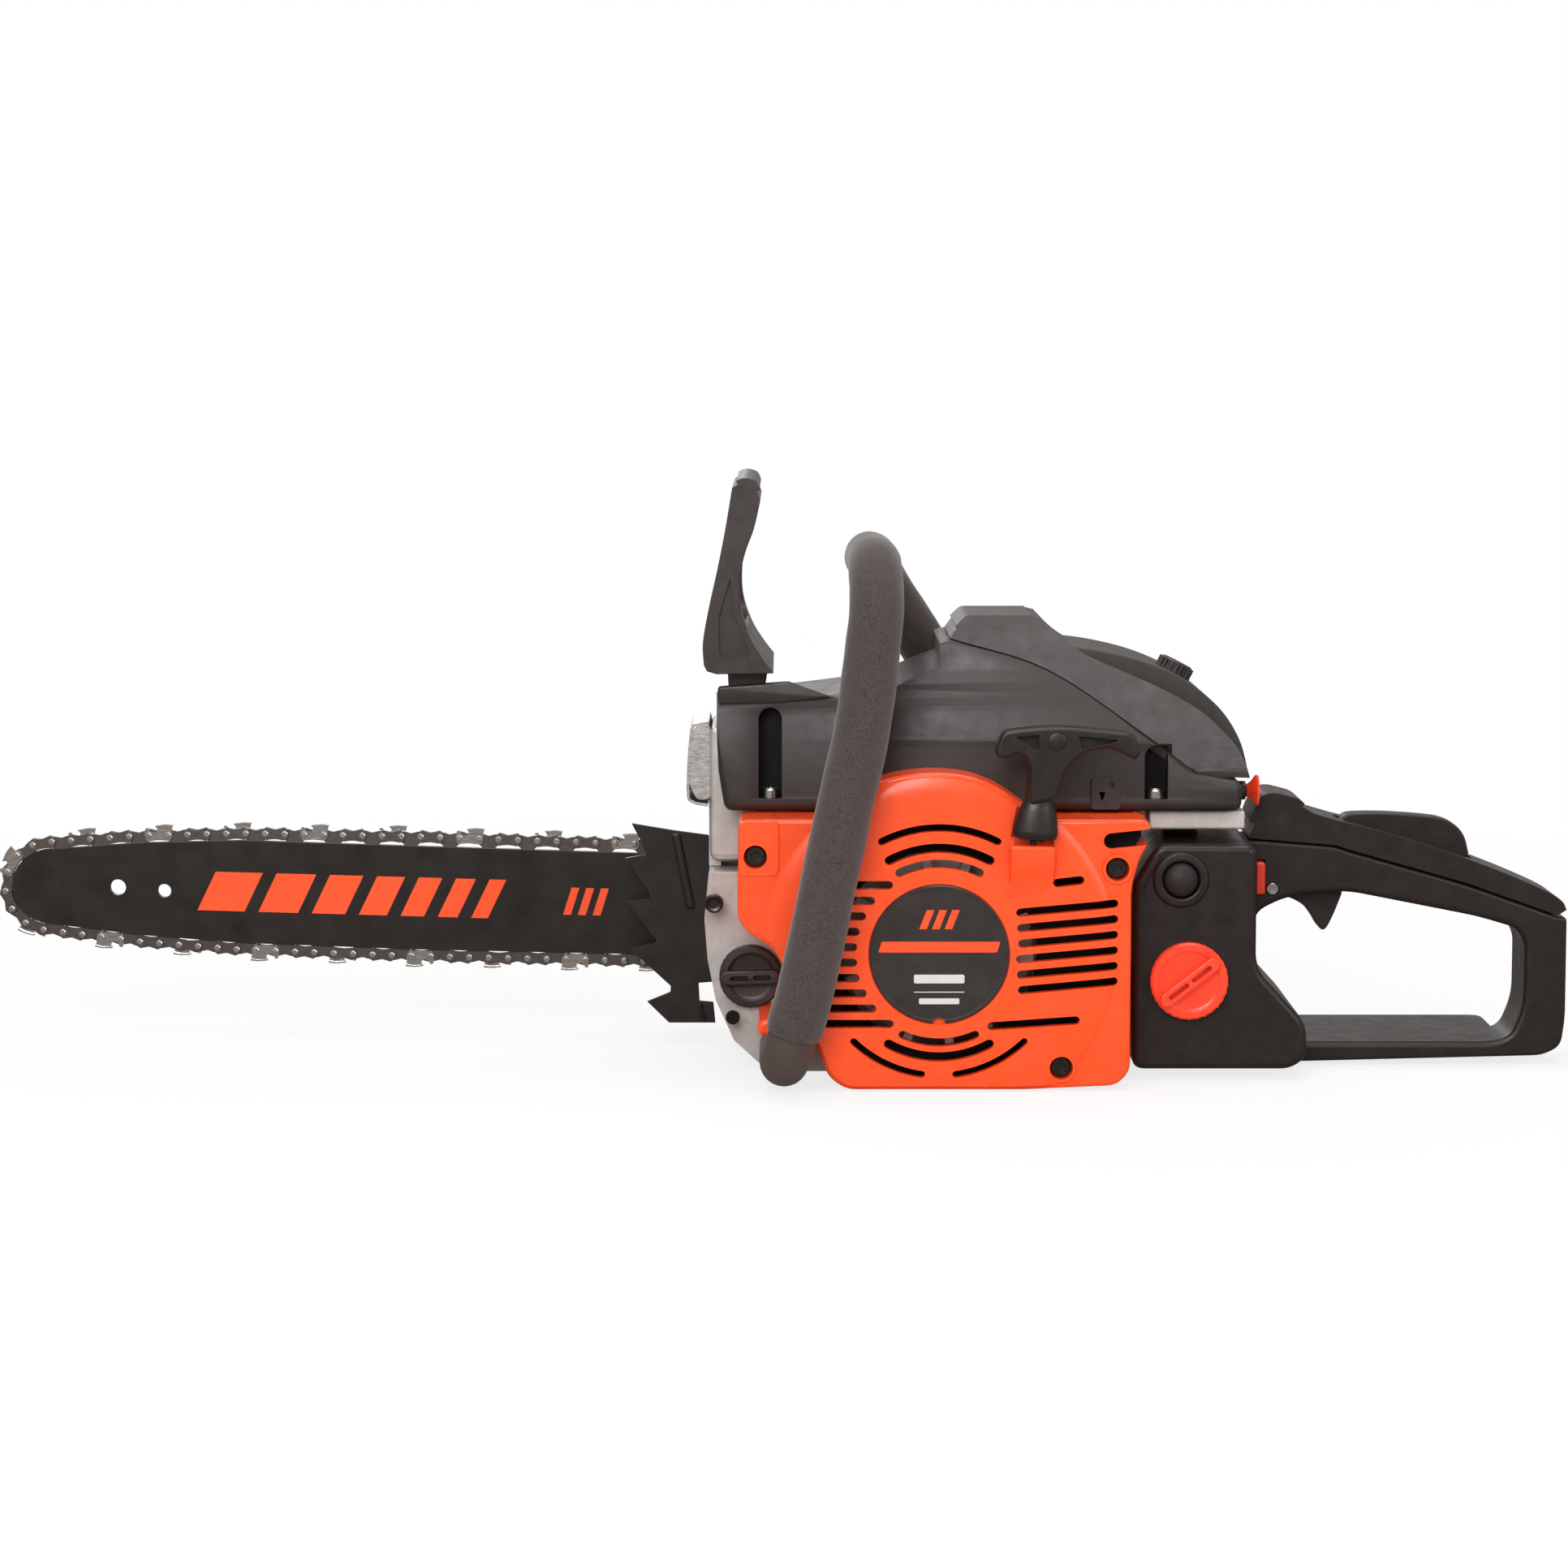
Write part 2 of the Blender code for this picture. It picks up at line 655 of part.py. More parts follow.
def make_fuel_system():
    """Intake boot, carburetor with its two shafts, and the air filter."""
    boot = turned(
        "intake_boot",
        [(8.0, 36.3), (14.0, 36.3), (14.0, 42.0), (11.5, 44.0), (11.5, 56.0), (14.0, 58.0), (14.0, 61.7), (8.0, 61.7)][::-1],
        (0, 0, CARB_Z),
        (1, 0, 0),
        20,
    )
    finished(boot, "black_plastic")
    carb = box("carburetor", (62, -18, BRACKET_TOP + GAP), (95, 18, 162))
    cut(carb, rod("carb_throat", (50, 0, CARB_Z), (100, 0, CARB_Z), 8.0, steps=20))
    cut(carb, rod("throttle_hole", (70, -30, CARB_Z), (70, 30, CARB_Z), 2.0 + GAP, steps=12))
    cut(carb, rod("choke_hole", (87, -30, CARB_Z), (87, 30, CARB_Z), 2.0 + GAP, steps=12))
    finished(carb, "cast_alloy")
    for name, x, across in (("throttle_shaft", 70, False), ("choke_shaft", 87, True)):
        shaft = rod(name, (x, -23, CARB_Z), (x, 21, CARB_Z), 2.0, steps=12)
        flap_end = (x, 0, CARB_Z + 0.6) if across else (x + 0.6, 0, CARB_Z)
        flap_start = (x, 0, CARB_Z - 0.6) if across else (x - 0.6, 0, CARB_Z)
        join(shaft, rod(name + "_flap", flap_start, flap_end, 7.5, steps=16))
        join(shaft, box(name + "_lever", (x - 2.5, -22.8, CARB_Z - 2.5), (x + 2.5, -20.8, CARB_Z + 7.2)))
        finished(shaft, "bright_steel", (x, 0, CARB_Z))
    carb_filter = box("air_filter", (95.3, -28, BRACKET_TOP + GAP), (126, 26, 164))
    rounded(carb_filter, 4.0)
    finished(carb_filter, "paper")


def make_rear_bracket():
    """Cast shelf behind the cylinder that carries the carburetor."""
    case_side = CASE_LEFT_Y + GAP
    outline = [(62.5, case_side), (102.5, case_side), (102.5, -46.0), (149.0, -46.0), (149.0, 42.0), (62.5, 42.0)]
    bracket = plate("rear_bracket", [outline], BRACKET_LOW, BRACKET_TOP, "Z")
    rounded(bracket, 1.5)
    join(bracket, box("bracket_leg", (65, -34, DECK_Z + GAP), (84, 22, BRACKET_LOW + 4)))
    finished(bracket, "cast_alloy")


# ---------------------------------------------------------------- cutting gear


def bar_point(distance, rise):
    """A point (x, z) at a distance along the bar's axis and a rise across it."""
    tilt = math.radians(BAR_TILT)
    x = -distance * math.cos(tilt) + rise * math.sin(tilt)
    z = CRANK_Z + 0.4 + distance * math.sin(tilt) + rise * math.cos(tilt)
    return x, z


BAR_SIDES = ((62.0, 21.5), (85.0, 25.2), (146.0, 26.4), (259.0, 27.1), (350.0, 26.3), (402.0, 23.6))


def bar_edge():
    """Distances and half heights along the bar, from its tail to the nose."""
    nose = BAR_TIP - NOSE_RADIUS
    points = [(distance, half) for distance, half in BAR_SIDES]
    for angle in range(80, -81, -16):
        turn = math.radians(angle)
        points.append((nose + NOSE_RADIUS * math.cos(turn), NOSE_RADIUS * math.sin(turn)))
    points += [(distance, -half) for distance, half in reversed(BAR_SIDES)]
    return points


def bar_outline():
    """The bar's outline as (x, z) points, tail included."""
    edge = bar_edge()
    tail = [(50.0, -14.0), (47.0, -10.0), (47.0, 10.0), (50.0, 14.0)]
    return [bar_point(*point) for point in edge + tail]


TENSIONER_S = 84.0
TENSIONER_DROP = -17.0
TENSIONER_Y = 48.0


def make_bar():
    """Guide bar with its slot, holes and nose sprocket."""
    slot = bar_slot_outline()
    front_hole = bar_point(412.6, 0.5)
    rear_hole = bar_point(389.0, -0.6)
    outlines = [bar_outline(), slot, circle(front_hole, 4.1, 16), circle(rear_hole, 3.5, 16)]
    half = BAR_THICKNESS / 2
    bar = plate("guide_bar", outlines, BAR_PLANE_Y - half, BAR_PLANE_Y + half)
    nose = bar_point(BAR_TIP - NOSE_RADIUS, 0)
    groove = plate(
        "nose_groove",
        [circle(nose, NOSE_RADIUS + 4, 24), circle(nose, 5.0, 12)],
        BAR_PLANE_Y - 0.8,
        BAR_PLANE_Y + 0.8,
    )
    cut(bar, groove)
    finished(bar, "bar_paint")
    teeth = []
    for index in range(NOSE_TEETH):
        pitch = 360.0 / NOSE_TEETH
        start = pitch * index
        teeth += circle(nose, NOSE_RADIUS - 0.6, 1, start, pitch * 0.4)
        teeth += circle(nose, NOSE_RADIUS - 4.0, 1, start + pitch * 0.52, pitch * 0.36)
    sprocket = plate(
        "nose_sprocket", [teeth, circle(nose, 5.0 + GAP, 12)], BAR_PLANE_Y - 0.5, BAR_PLANE_Y + 0.5
    )
    finished(sprocket, "bright_steel", (nose[0], BAR_PLANE_Y, nose[1]))


def bar_slot_outline():
    """The long slot in the bar's tail that the studs pass through."""
    front = STUD_FRONT_S + STUD_RADIUS + TENSION_TRAVEL + 1.0
    rear = STUD_REAR_S - STUD_RADIUS - 1.5
    half = STUD_RADIUS + GAP
    corners = [(front, half - 2), (front - 2, half), (rear + 2, half), (rear, half - 2)]
    corners += [(rear, 2 - half), (rear + 2, -half), (front - 2, -half), (front, 2 - half)]
    return [bar_point(*corner) for corner in corners]


def chain_path():
    """The inner side of the chain, from the drive sprocket round the bar and back."""
    upper = []
    lift = GAP
    for distance, half in BAR_SIDES:
        upper.append((distance, half + lift))
    nose = BAR_TIP - NOSE_RADIUS
    tip = []
    for angle in range(80, -81, -16):
        turn = math.radians(angle)
        reach = NOSE_RADIUS + lift
        tip.append((nose + reach * math.cos(turn), reach * math.sin(turn)))
    lower = [(distance, -half) for distance, half in reversed(upper)]
    return upper, tip, lower


def make_chain():
    """The saw chain as one closed band round the bar and the drive sprocket."""
    upper, tip, lower = chain_path()
    reach = SPROCKET_RADIUS + 1.1
    wheel = []
    for angle in range(-87, -275, -17):
        turn = math.radians(angle)
        wheel.append((reach * math.cos(turn), reach * math.sin(turn)))
    inner = [bar_point(*point) for point in upper + tip + lower + wheel]
    outer = []
    count = len(inner)
    for index, point in enumerate(inner):
        before = Vector(inner[index - 1])
        after = Vector(inner[(index + 1) % count])
        along = (after - before).normalized()
        outer.append((point[0] + along.y * CHAIN_DEPTH, point[1] - along.x * CHAIN_DEPTH))
    half = CHAIN_WIDTH / 2
    chain = plate("saw_chain", [outer, inner], BAR_PLANE_Y - half, BAR_PLANE_Y + half)
    finished(chain, "dark_steel")


def make_spike():
    """The toothed bumper plate bolted to the crankcase's side."""
    outline = [
        (-149.9, 115.9), (-128.3, 112.3), (-126.0, 109.0), (-119.0, 108.0), (-112.0, 96.0), (-100.0, 92.0),
        (-100.0, 34.0), (-108.0, 28.0), (-112.0, 12.5), (-127.4, 12.5), (-132.2, 33.0), (-142.5, 25.2),
        (-138.0, 41.0), (-138.3, 56.6), (-151.4, 52.1), (-143.0, 67.0), (-141.4, 79.3), (-154.1, 76.4),
        (-146.0, 88.0), (-144.2, 98.7), (-153.6, 98.2),
    ]
    spike = plate("spike_plate", [outline], SPIKE_Y, SPIKE_Y + SPIKE_THICKNESS)
    finished(spike, "black_plastic")


def make_clutch_cover():
    """The cover over the clutch, with the nuts and the tensioner screw."""
    outline = [
        (-128.0, 104.0), (-122.0, 111.0), (-30.0, 111.0), *circle((0, CRANK_Z), 43.5, 9, 90, -180),
        (-30.0, 24.0), (-118.0, 26.0), (-128.0, 34.0),
    ]
    cover = plate("clutch_cover", [outline], 44.0, CLUTCH_COVER_Y)
    rounded(cover, 5.0, 2)
    cut(cover, rod("drum_room", (0, 40, CRANK_Z), (0, CLUTCH_COVER_Y - WALL, CRANK_Z), 38.0, steps=32))
    cut(cover, box("bar_room", (-135, 40, 29.0), (0, 57.3, 107.5)))
    cut(cover, box("upper_run", (-135, 50, 86.5), (-20, 61.5, 107.5)))
    cut(cover, box("lower_run", (-135, 50, 29.0), (-20, 61.5, 54.5)))
    cut(cover, box("cover_hollow_front", (-124, 50.0, 30.5), (-107, CLUTCH_COVER_Y - WALL, 106)))
    for name, distance in (("front", STUD_FRONT_S), ("rear", STUD_REAR_S)):
        x, z = bar_point(distance, 0)
        cut(cover, rod(f"stud_hole_{name}", (x, 50, z), (x, 90, z), STUD_RADIUS + GAP, steps=16))
        cut(cover, rod(f"nut_recess_{name}", (x, 78, z), (x, 90, z), 10.5, steps=20))
    finished(cover, "orange_plastic")
    for name, distance in (("bar_nut_front", STUD_FRONT_S), ("bar_nut_rear", STUD_REAR_S)):
        x, z = bar_point(distance, 0)
        nut = turned(
            name,
            [(STUD_RADIUS + GAP, 78 + GAP), (9.4, 78 + GAP), (9.4, 80.0), (7.4, 80.0), (7.4, 86.5), (STUD_RADIUS + GAP, 86.5)],
            (x, 0, z),
            (0, 1, 0),
            6 * 3,
        )
        finished(nut, "bright_steel", (x, 0, z))
    x, z = bar_point(TENSIONER_S, TENSIONER_DROP)
    screw = rod("tensioner_screw", (x - 36, TENSIONER_Y, z), (x + 13, TENSIONER_Y, z), 3.0 - GAP, steps=12)
    join(screw, rod("tensioner_head", (x - 42, TENSIONER_Y, z), (x - 35, TENSIONER_Y, z), 4.2, steps=12))
    finished(screw, "bright_steel", (x, TENSIONER_Y, z))
    band = plate(
        "brake_band",
        [circle((0, CRANK_Z), 34.2, 20, 100, -300) + circle((0, CRANK_Z), 32.6, 20, 160, 300)],
        64.0,
        76.0,
    )
    join(band, box("band_anchor", (-3.0, 66, CRANK_Z + 33.2), (3.0, 74, CRANK_Z + 37.3)))
    finished(band, "bright_steel")


# ---------------------------------------------------------------- starter side


def starter_outline(inset=0.0):
    """The starter cover seen from the side; its hollow is inset and leaves out the front lobe."""
    points = [(-95.4, 131.4), (-95.8, 84.0), (-92.0, 79.5), (-76.8, 69.2), (-72.6, 60.0), (-71.5, 44.0)]
    if not inset:
        points += [(-76.0, 35.5), (-84.0, 34.5), (-86.5, 31.0), (-84.0, 28.6)]
    points += [
        (-60.0, 28.6), (-52.5, 8.0), (-46.0, 1.4), (40.9, 1.4), (84.0, 4.0), (91.5, 10.5), (91.3, 99.0),
        (95.0, 113.0), (99.5, 122.0), (100.1, 131.4),
    ]
    return inset_outline(points, inset) if inset else points


def inset_outline(points, inset):
    """A closed outline, given anticlockwise, moved inwards with mitred corners."""
    moved = []
    count = len(points)
    for index in range(count):
        before = Vector(points[index - 1])
        here = Vector(points[index])
        after = Vector(points[(index + 1) % count])
        first = (here - before).normalized()
        second = (after - here).normalized()
        side = Vector((-first.y, first.x)) + Vector((-second.y, second.x))
        side.normalize()
        lean = max(side.dot(Vector((-first.y, first.x))), 0.5)
        moved.append(tuple(here + side * inset / lean))
    return moved


def make_starter_cover():
    """The orange fan housing with its vents, grip socket and badge seat."""
    cover = plate("starter_cover", [starter_outline()], COVER_FACE_Y, CASE_LEFT_Y - GAP)
    rounded(cover, 3.6, 2)
    dome = plate("cover_dome", [dome_outline(0.0)], COVER_FACE_Y + 2, COVER_LEFT_Y - GAP)
    rounded(dome, 3.6, 2)
    join(cover, dome)
    socket = box("grip_socket", (GRIP_X - 9, GRIP_Y - 6, 107), (GRIP_X + 9, COVER_FACE_Y + 3, GRIP_Z - GAP))
    rounded(socket, 1.5)
    join(cover, socket)
    cut(cover, plate("cover_hollow", [starter_outline(WALL)], COVER_FACE_Y + WALL, CASE_LEFT_Y + 10))
    cut(cover, plate("dome_hollow", [dome_outline(WALL)], COVER_FACE_Y + 2 + WALL, COVER_LEFT_Y - GAP - WALL))
    for name, place, reach in (("front", SCREW_FRONT, 8.5), ("rear", SCREW_REAR, 8.0), ("low", SCREW_LOW, 8.0)):
        post = rod(
            f"screw_post_{name}",
            (place[0], COVER_FACE_Y + 2, place[1]),
            (place[0], CASE_LEFT_Y - 2 * GAP, place[1]),
            7.0,
            steps=16,
        )
        join(cover, post)
        hole = rod(f"screw_hole_{name}", (place[0], -90, place[1]), (place[0], -30, place[1]), 2.5 + GAP, steps=12)
        cut(cover, hole)
        recess = rod(f"screw_recess_{name}", (place[0], -90, place[1]), (place[0], -79, place[1]), 5.6, steps=16)
        cut(cover, recess)
    x, y, z = LEAD_END
    cut(cover, box("lead_notch", (x - 6, y - 4.8, z - 4), (x + 6, y + 8, z + 8)))
    cut(cover, rod("rope_hole", (GRIP_X, GRIP_Y, 104), (GRIP_X, GRIP_Y, 130), 2.8, steps=12))
    cut(cover, box("rope_way", (GRIP_X - 7.5, GRIP_Y - 2.8, 107.8), (GRIP_X + 2.8, -78, 116)))
    cut(cover, rod("badge_seat", (0, -90, CRANK_Z), (0, COVER_FACE_Y + 1.2, CRANK_Z), BADGE_RADIUS + GAP, steps=32))
    cut(cover, vent_cutter())
    spring_seat = rod("spring_post", (0, COVER_FACE_Y + 2, CRANK_Z), (0, -72, CRANK_Z), 4.0, steps=16)
    join(cover, spring_seat)
    finished(cover, "orange_plastic")
    badge = rod("starter_badge", (0, COVER_FACE_Y - 1.0, CRANK_Z), (0, COVER_FACE_Y + 0.9, CRANK_Z), BADGE_RADIUS, steps=32)
    finished(badge, "black_plastic")


def dome_outline(inset):
    """The raised part of the cover over the flywheel."""
    points = [
        (-46.0, 125.0 - 3 * inset), (46.3, 125.0 - 3 * inset), (46.3, 134.0), (40.0, 141.0), (30.5, 147.5), (18.6, 151.8),
        (3.6, 154.2), (-14.0, 153.3), (-28.0, 151.2), (-38.0, 147.0), (-46.0, 138.0),
    ]
    return inset_outline(points, inset) if inset else points


SCREW_FRONT = (-87.3, 113.8)
SCREW_REAR = (84.4, 108.0)
SCREW_LOW = (58.4, 12.5)


def vent_cutter():
    """All the air slots of the starter cover, joined in one cutter."""
    low = COVER_FACE_Y - 6
    high = COVER_FACE_Y + 9
    centre = (0, CRANK_Z)
    slots = []
    for radius, spread in ((60.5, 27.0), (50.0, 29.0), (43.0, 27.0)):
        slots.append(arc_slot(centre, radius, 3.4, 90 - spread, 90 + spread))
    for radius, spread in ((43.5, 25.0), (49.5, 30.0)):
        slots.append(arc_slot(centre, radius, 3.4, 270 - spread, 270 + spread))
    for row in range(6):
        z = 91.5 - 7.5 * row
        slots.append(bar_slot((37.5 + 0.6 * row, z - 4.0), (83.5, z), 3.6))
    for row in range(9):
        z = 96.5 - 7.5 * row
        bulge = 38.5 if abs(z - CRANK_Z) < 8 else 0.0
        edge = max(40.0, bulge)
        reach = math.sqrt(max(edge**2 - (z - CRANK_Z) ** 2, 20.0**2))
        slots.append(bar_slot((-66.0 + 0.8 * abs(row - 4), z), (-reach, z), 3.6))
    slots.append(bar_slot((24.0, 34.0), (66.0, 34.5), 4.6))
    slots.append(bar_slot((54.0, 103.5), (67.5, 101.5), 3.6))
    cutter = plate("vent_slots", slots, low, high)
    return cutter


def make_starter_works():
    """Pulley, recoil spring, rope and pull grip."""
    pulley = turned(
        "starter_pulley",
        [
            (4.0 + GAP, -77.4), (PULLEY_RADIUS, -77.4), (PULLEY_RADIUS, -76.3), (21.6, -75.8), (21.6, -73.0),
            (PULLEY_RADIUS, -72.5), (PULLEY_RADIUS, -71.4), (4.0 + GAP, -71.4),
        ],
        (0, 0, CRANK_Z),
        (0, 1, 0),
        24,
    )
    finished(pulley, "black_plastic", (0, 0, CRANK_Z))
    turns = 4
    steps = 12 * turns
    path = []
    for index in range(steps + 1):
        angle = math.tau * turns * index / steps
        radius = 5.1 + 12.0 * index / steps
        path.append((radius * math.cos(angle), CRANK_Z + radius * math.sin(angle)))
    spring = plate("recoil_spring", [path + offset_path(path, 0.7)[::-1]], -81.2, -77.7)
    finished(spring, "bright_steel", (0, 0, CRANK_Z))
    route = [
        (24.0, -74.4, 70.0), (27.0, -75.0, 84.0), (34.5, -76.8, 101.0), (39.5, -79.6, 109.0), (42.6, -86.4, 112.6),
        (GRIP_X, GRIP_Y, 117.5), (GRIP_X, GRIP_Y, GRIP_Z + 0.2),
    ]
    rope = tube("starter_rope", smooth_path(route, 4), ROPE_RADIUS, resolution=2)
    finished(rope, "rope")

    tilt = math.radians(GRIP_TILT)
    along = Vector((math.sin(tilt), 0, math.cos(tilt)))
    base = Vector((GRIP_X, GRIP_Y, GRIP_Z))
    neck = [
        (GRIP_X - 9.6, GRIP_Z + 0.6), (GRIP_X + 9.6, GRIP_Z + 0.6), (57.0, 136.0), (58.5, 152.0), (64.0, 156.6),
        (91.5, 160.5), (94.4, 164.0), (93.3, 170.4), (88.0, 172.6), (59.5, 176.8), (48.0, 177.2), (31.5, 174.6),
        (28.0, 171.0), (25.4, 163.0), (27.0, 161.2), (42.0, 158.6), (44.0, 152.0), (41.5, 136.0),
    ]
    grip = plate("starter_grip", [neck], GRIP_Y - 8, COVER_FACE_Y - GAP - 0.4)
    rounded(grip, 3.0, 2)
    finished(grip, "black_plastic", tuple(base))
    for name, place in (
        ("cover_screw_front", SCREW_FRONT),
        ("cover_screw_rear", SCREW_REAR),
        ("cover_screw_low", SCREW_LOW),
    ):
        screw = turned(
            name,
            [(0, -81.5), (5.2, -81.5), (5.2, -79.3), (2.5, -79.3), (2.5, CASE_LEFT_Y - GAP - 0.1), (0, CASE_LEFT_Y - GAP - 0.1)],
            (place[0], 0, place[1]),
            (0, 1, 0),
            12,
        )
        finished(screw, "bright_steel")


# ---------------------------------------------------------------- top covers


SEAM = ((6.3, 213.6), (53.1, 199.1), (100.0, 168.1), (123.4, 150.8), (145.8, 147.1))


def make_cylinder_cover():
    """The black cover over the cylinder, open below, in front and towards the filter."""
    outline = [
        (-102.1, COVER_BASE_Z), (146.4, COVER_BASE_Z), (146.6, 146.8), *reversed(SEAM[:-1]),
        (4.0, 213.2), (-17.0, 205.0), (-43.0, 198.4), (-76.0, 194.4), (-106.0, 192.3), (-106.0, 171.0), (-105.2, 152.0),
    ]
    cover = plate("cylinder_cover", [outline], COVER_LEFT_Y, COVER_RIGHT_Y)
    rounded(cover, 5.0, 2, 50)
    hollow = [
        (-99.5, COVER_BASE_Z - 10), (143.8, COVER_BASE_Z - 10), (143.8, 144.6), (122.3, 148.2), (98.3, 165.6),
        (51.8, 196.5), (3.6, 210.4), (-17.0, 202.4), (-43.0, 195.8), (-76.0, 191.8), (-103.5, 189.7), (-103.5, 171.0), (-102.7, 152.0),
    ]
    cut(cover, plate("cylinder_room", [hollow], COVER_LEFT_Y + WALL, COVER_RIGHT_Y - WALL))
    cut(cover, box("filter_opening", (62, -43, 140), (136, 38, 215)))
    cut(cover, box("guard_notch", (-110, -49.5, 172.3), (-70, 49.5, 215)))
    cut(cover, box("muffler_window", (-115, -34, 120), (-95, 39, 173)))
    x, z = GUARD_PIVOT
    join(cover, rod("guard_pin_left", (x, COVER_LEFT_Y + 1, z), (x, -GUARD_ARM_Y + 8.5, z), 3.5, steps=12))
    join(cover, rod("guard_pin_right", (x, COVER_RIGHT_Y - 1, z), (x, GUARD_ARM_Y - 8.5, z), 3.5, steps=12))
    for x, low, high in ((-80.3, 138.0, 182.0), (104.8, 138.0, 160.0)):
        cut(cover, box(f"side_slot_{x:.0f}", (x - 5.6, COVER_LEFT_Y - 5, low), (x + 5.6, COVER_LEFT_Y + 1.2, high)))
    choke_hole = rod("choke_knob_hole", (138, CHOKE_Y, CHOKE_Z), (150, CHOKE_Y, CHOKE_Z), 3.0 + GAP, steps=12)
    cut(cover, choke_hole)
    finished(cover, "black_plastic")


def make_filter_cover():
    """The domed cover over the air filter, with its knob."""
    outline = [
        (6.4, 214.0 + GAP), *[(x, z + GAP) for x, z in SEAM[1:-1]], (145.8, 147.4), (151.0, 147.6), (149.4, 156.0),
        (146.0, 164.5), (137.9, 177.6), (127.7, 187.0), (116.0, 193.8), (97.6, 202.2), (77.6, 207.7),
        (60.4, 212.1), (54.0, 221.0), (47.7, 225.0), (13.1, 225.0), (8.0, 219.0),
    ]
    cover = plate("air_filter_cover", [outline], -50.0, 46.0)
    rounded(cover, 7.0, 3, 50)
    hollow = [
        (58.0, 190.0), (100.0, 150.0), (140.0, 140.0), (143.5, 156.0), (140.5, 164.0), (134.5, 174.5), (125.4, 183.6),
        (115.0, 190.2), (97.0, 198.4), (77.0, 203.6), (60.0, 207.8),
    ]
    cut(cover, plate("filter_room", [hollow], -42.0, 37.0))
    knob_base = Vector((KNOB_X, -2.0, KNOB_Z))
    along = knob_direction()
    cut(cover, rod("knob_recess", knob_base - along * 2.2, knob_base + along * 12, 9.2, steps=20))
    cut(cover, rod("knob_hole", knob_base - along * 12, knob_base + along * 2, 3.3, steps=12))
    finished(cover, "black_plastic")
    profile = [(0, 9.0), (7.2, 9.0), (8.6, 7.5), (8.6, -1.9), (3.0, -1.9), (3.0, -8.0), (0, -8.0)]
    knob = turned("filter_cover_knob", profile[::-1], knob_base, along, 20)
    finished(knob, "black_plastic", tuple(knob_base))


KNOB_X = 115.5
KNOB_Z = 191.5


def knob_direction():
    """The knob's axis, square to the dome under it."""
    tilt = math.radians(27)
    return Vector((math.sin(tilt), 0, math.cos(tilt)))


def make_hand_guard():
    """The front hand guard that trips the chain brake."""
    blade = [
        (-98.0, 289.0), (-93.5, 292.3), (-87.5, 291.0), (-84.8, 283.6), (-88.0, 268.0), (-95.2, 246.0), (-94.5, 228.0),
        (-84.0, 206.0), (-78.0, 198.5), (-106.0, 198.5), (-111.8, 203.0), (-112.0, 214.0), (-106.0, 245.6),
    ]
    guard = plate("hand_guard", [blade], -61.0, 61.0)
    rounded(guard, 2.5, 2)
    cut(guard, box("guard_window", (-125, -40, 218), (-70, 40, 262)))
    x, z = GUARD_PIVOT
    for side in (-1, 1):
        inner = side * (GUARD_ARM_Y - 6.5)
        outer = side * GUARD_ARM_Y
        arm_outline = [(x - 9, 201.5), (x - 8.0, z), (x - 4, z - 8), (x + 4, z - 8), (x + 8.0, z), (x + 11, 201.5)]
        arm = plate(f"guard_arm_{side}", [arm_outline], min(inner, outer), max(inner, outer))
        join(guard, arm)
    cut(guard, rod("guard_bore", (x, -70, z), (x, 70, z), 3.5 + GAP, steps=12))
    finished(guard, "black_plastic", (x, 0, z))


# ---------------------------------------------------------------- handles and tank


HANDLE_STEPS = 2


def front_handle_path():
    """The centre line of the front handle from its foot over the top to the far side."""
    return smooth_path(
        [
            (-74.0, CASE_LEFT_Y - GAP, 14.5),
            (-74.0, -60.0, 14.3),
            (-73.6, -86.0, 15.5),
            (-71.6, -99.0, 24.0),
            (-68.0, -104.0, 37.0),
            (-62.2, -104.6, 59.0),
            (-45.8, -104.6, 137.8),
            (-37.3, -104.4, 176.0),
            (-31.5, -103.6, 222.0),
            (-30.5, -98.5, 240.0),
            (-30.8, -84.0, 250.5),
            (-31.2, -60.0, 252.6),
            (-31.2, 0.0, 251.0),
            (-30.8, 36.0, 249.0),
            (-28.0, 55.0, 243.5),
            (-20.5, 65.0, 230.5),
            (-5.0, 66.5, 206.0),
            (14.0, 66.5, 175.0),
            (38.9, 63.5, 131.5),
        ],
        HANDLE_STEPS,
    )


def far_end():
    """The end of the front handle's far leg and the direction that it runs in."""
    path = front_handle_path()
    return path[-1], (path[-1] - path[-2]).normalized()


def make_front_handle():
    """The bent tube and its foam grip."""
    path = front_handle_path()
    start = HANDLE_STEPS * 3 + 1
    end = HANDLE_STEPS * 16 + 1
    foam_start = start + 1
    factors = [TUBE_END_RADIUS / TUBE_RADIUS if index < start else 1.0 for index in range(len(path))]
    handle = tube("front_handle", path, TUBE_RADIUS, factors, resolution=2)
    finished(handle, "grey_tube")
    grip_path = path[foam_start:end]
    heights = [point.z for point in grip_path]
    low, high = min(heights), max(heights)
    factors = []
    for point in grip_path:
        share = (point.z - low) / (high - low)
        factors.append((FOAM_LOW_RADIUS + (FOAM_HIGH_RADIUS - FOAM_LOW_RADIUS) * share) / FOAM_LOW_RADIUS)
    foam = tube("handle_foam", grip_path, FOAM_LOW_RADIUS, factors, resolution=2)
    cut(foam, tube("foam_bore", path, TUBE_RADIUS + GAP, resolution=2))
    finished(foam, "foam_rubber")


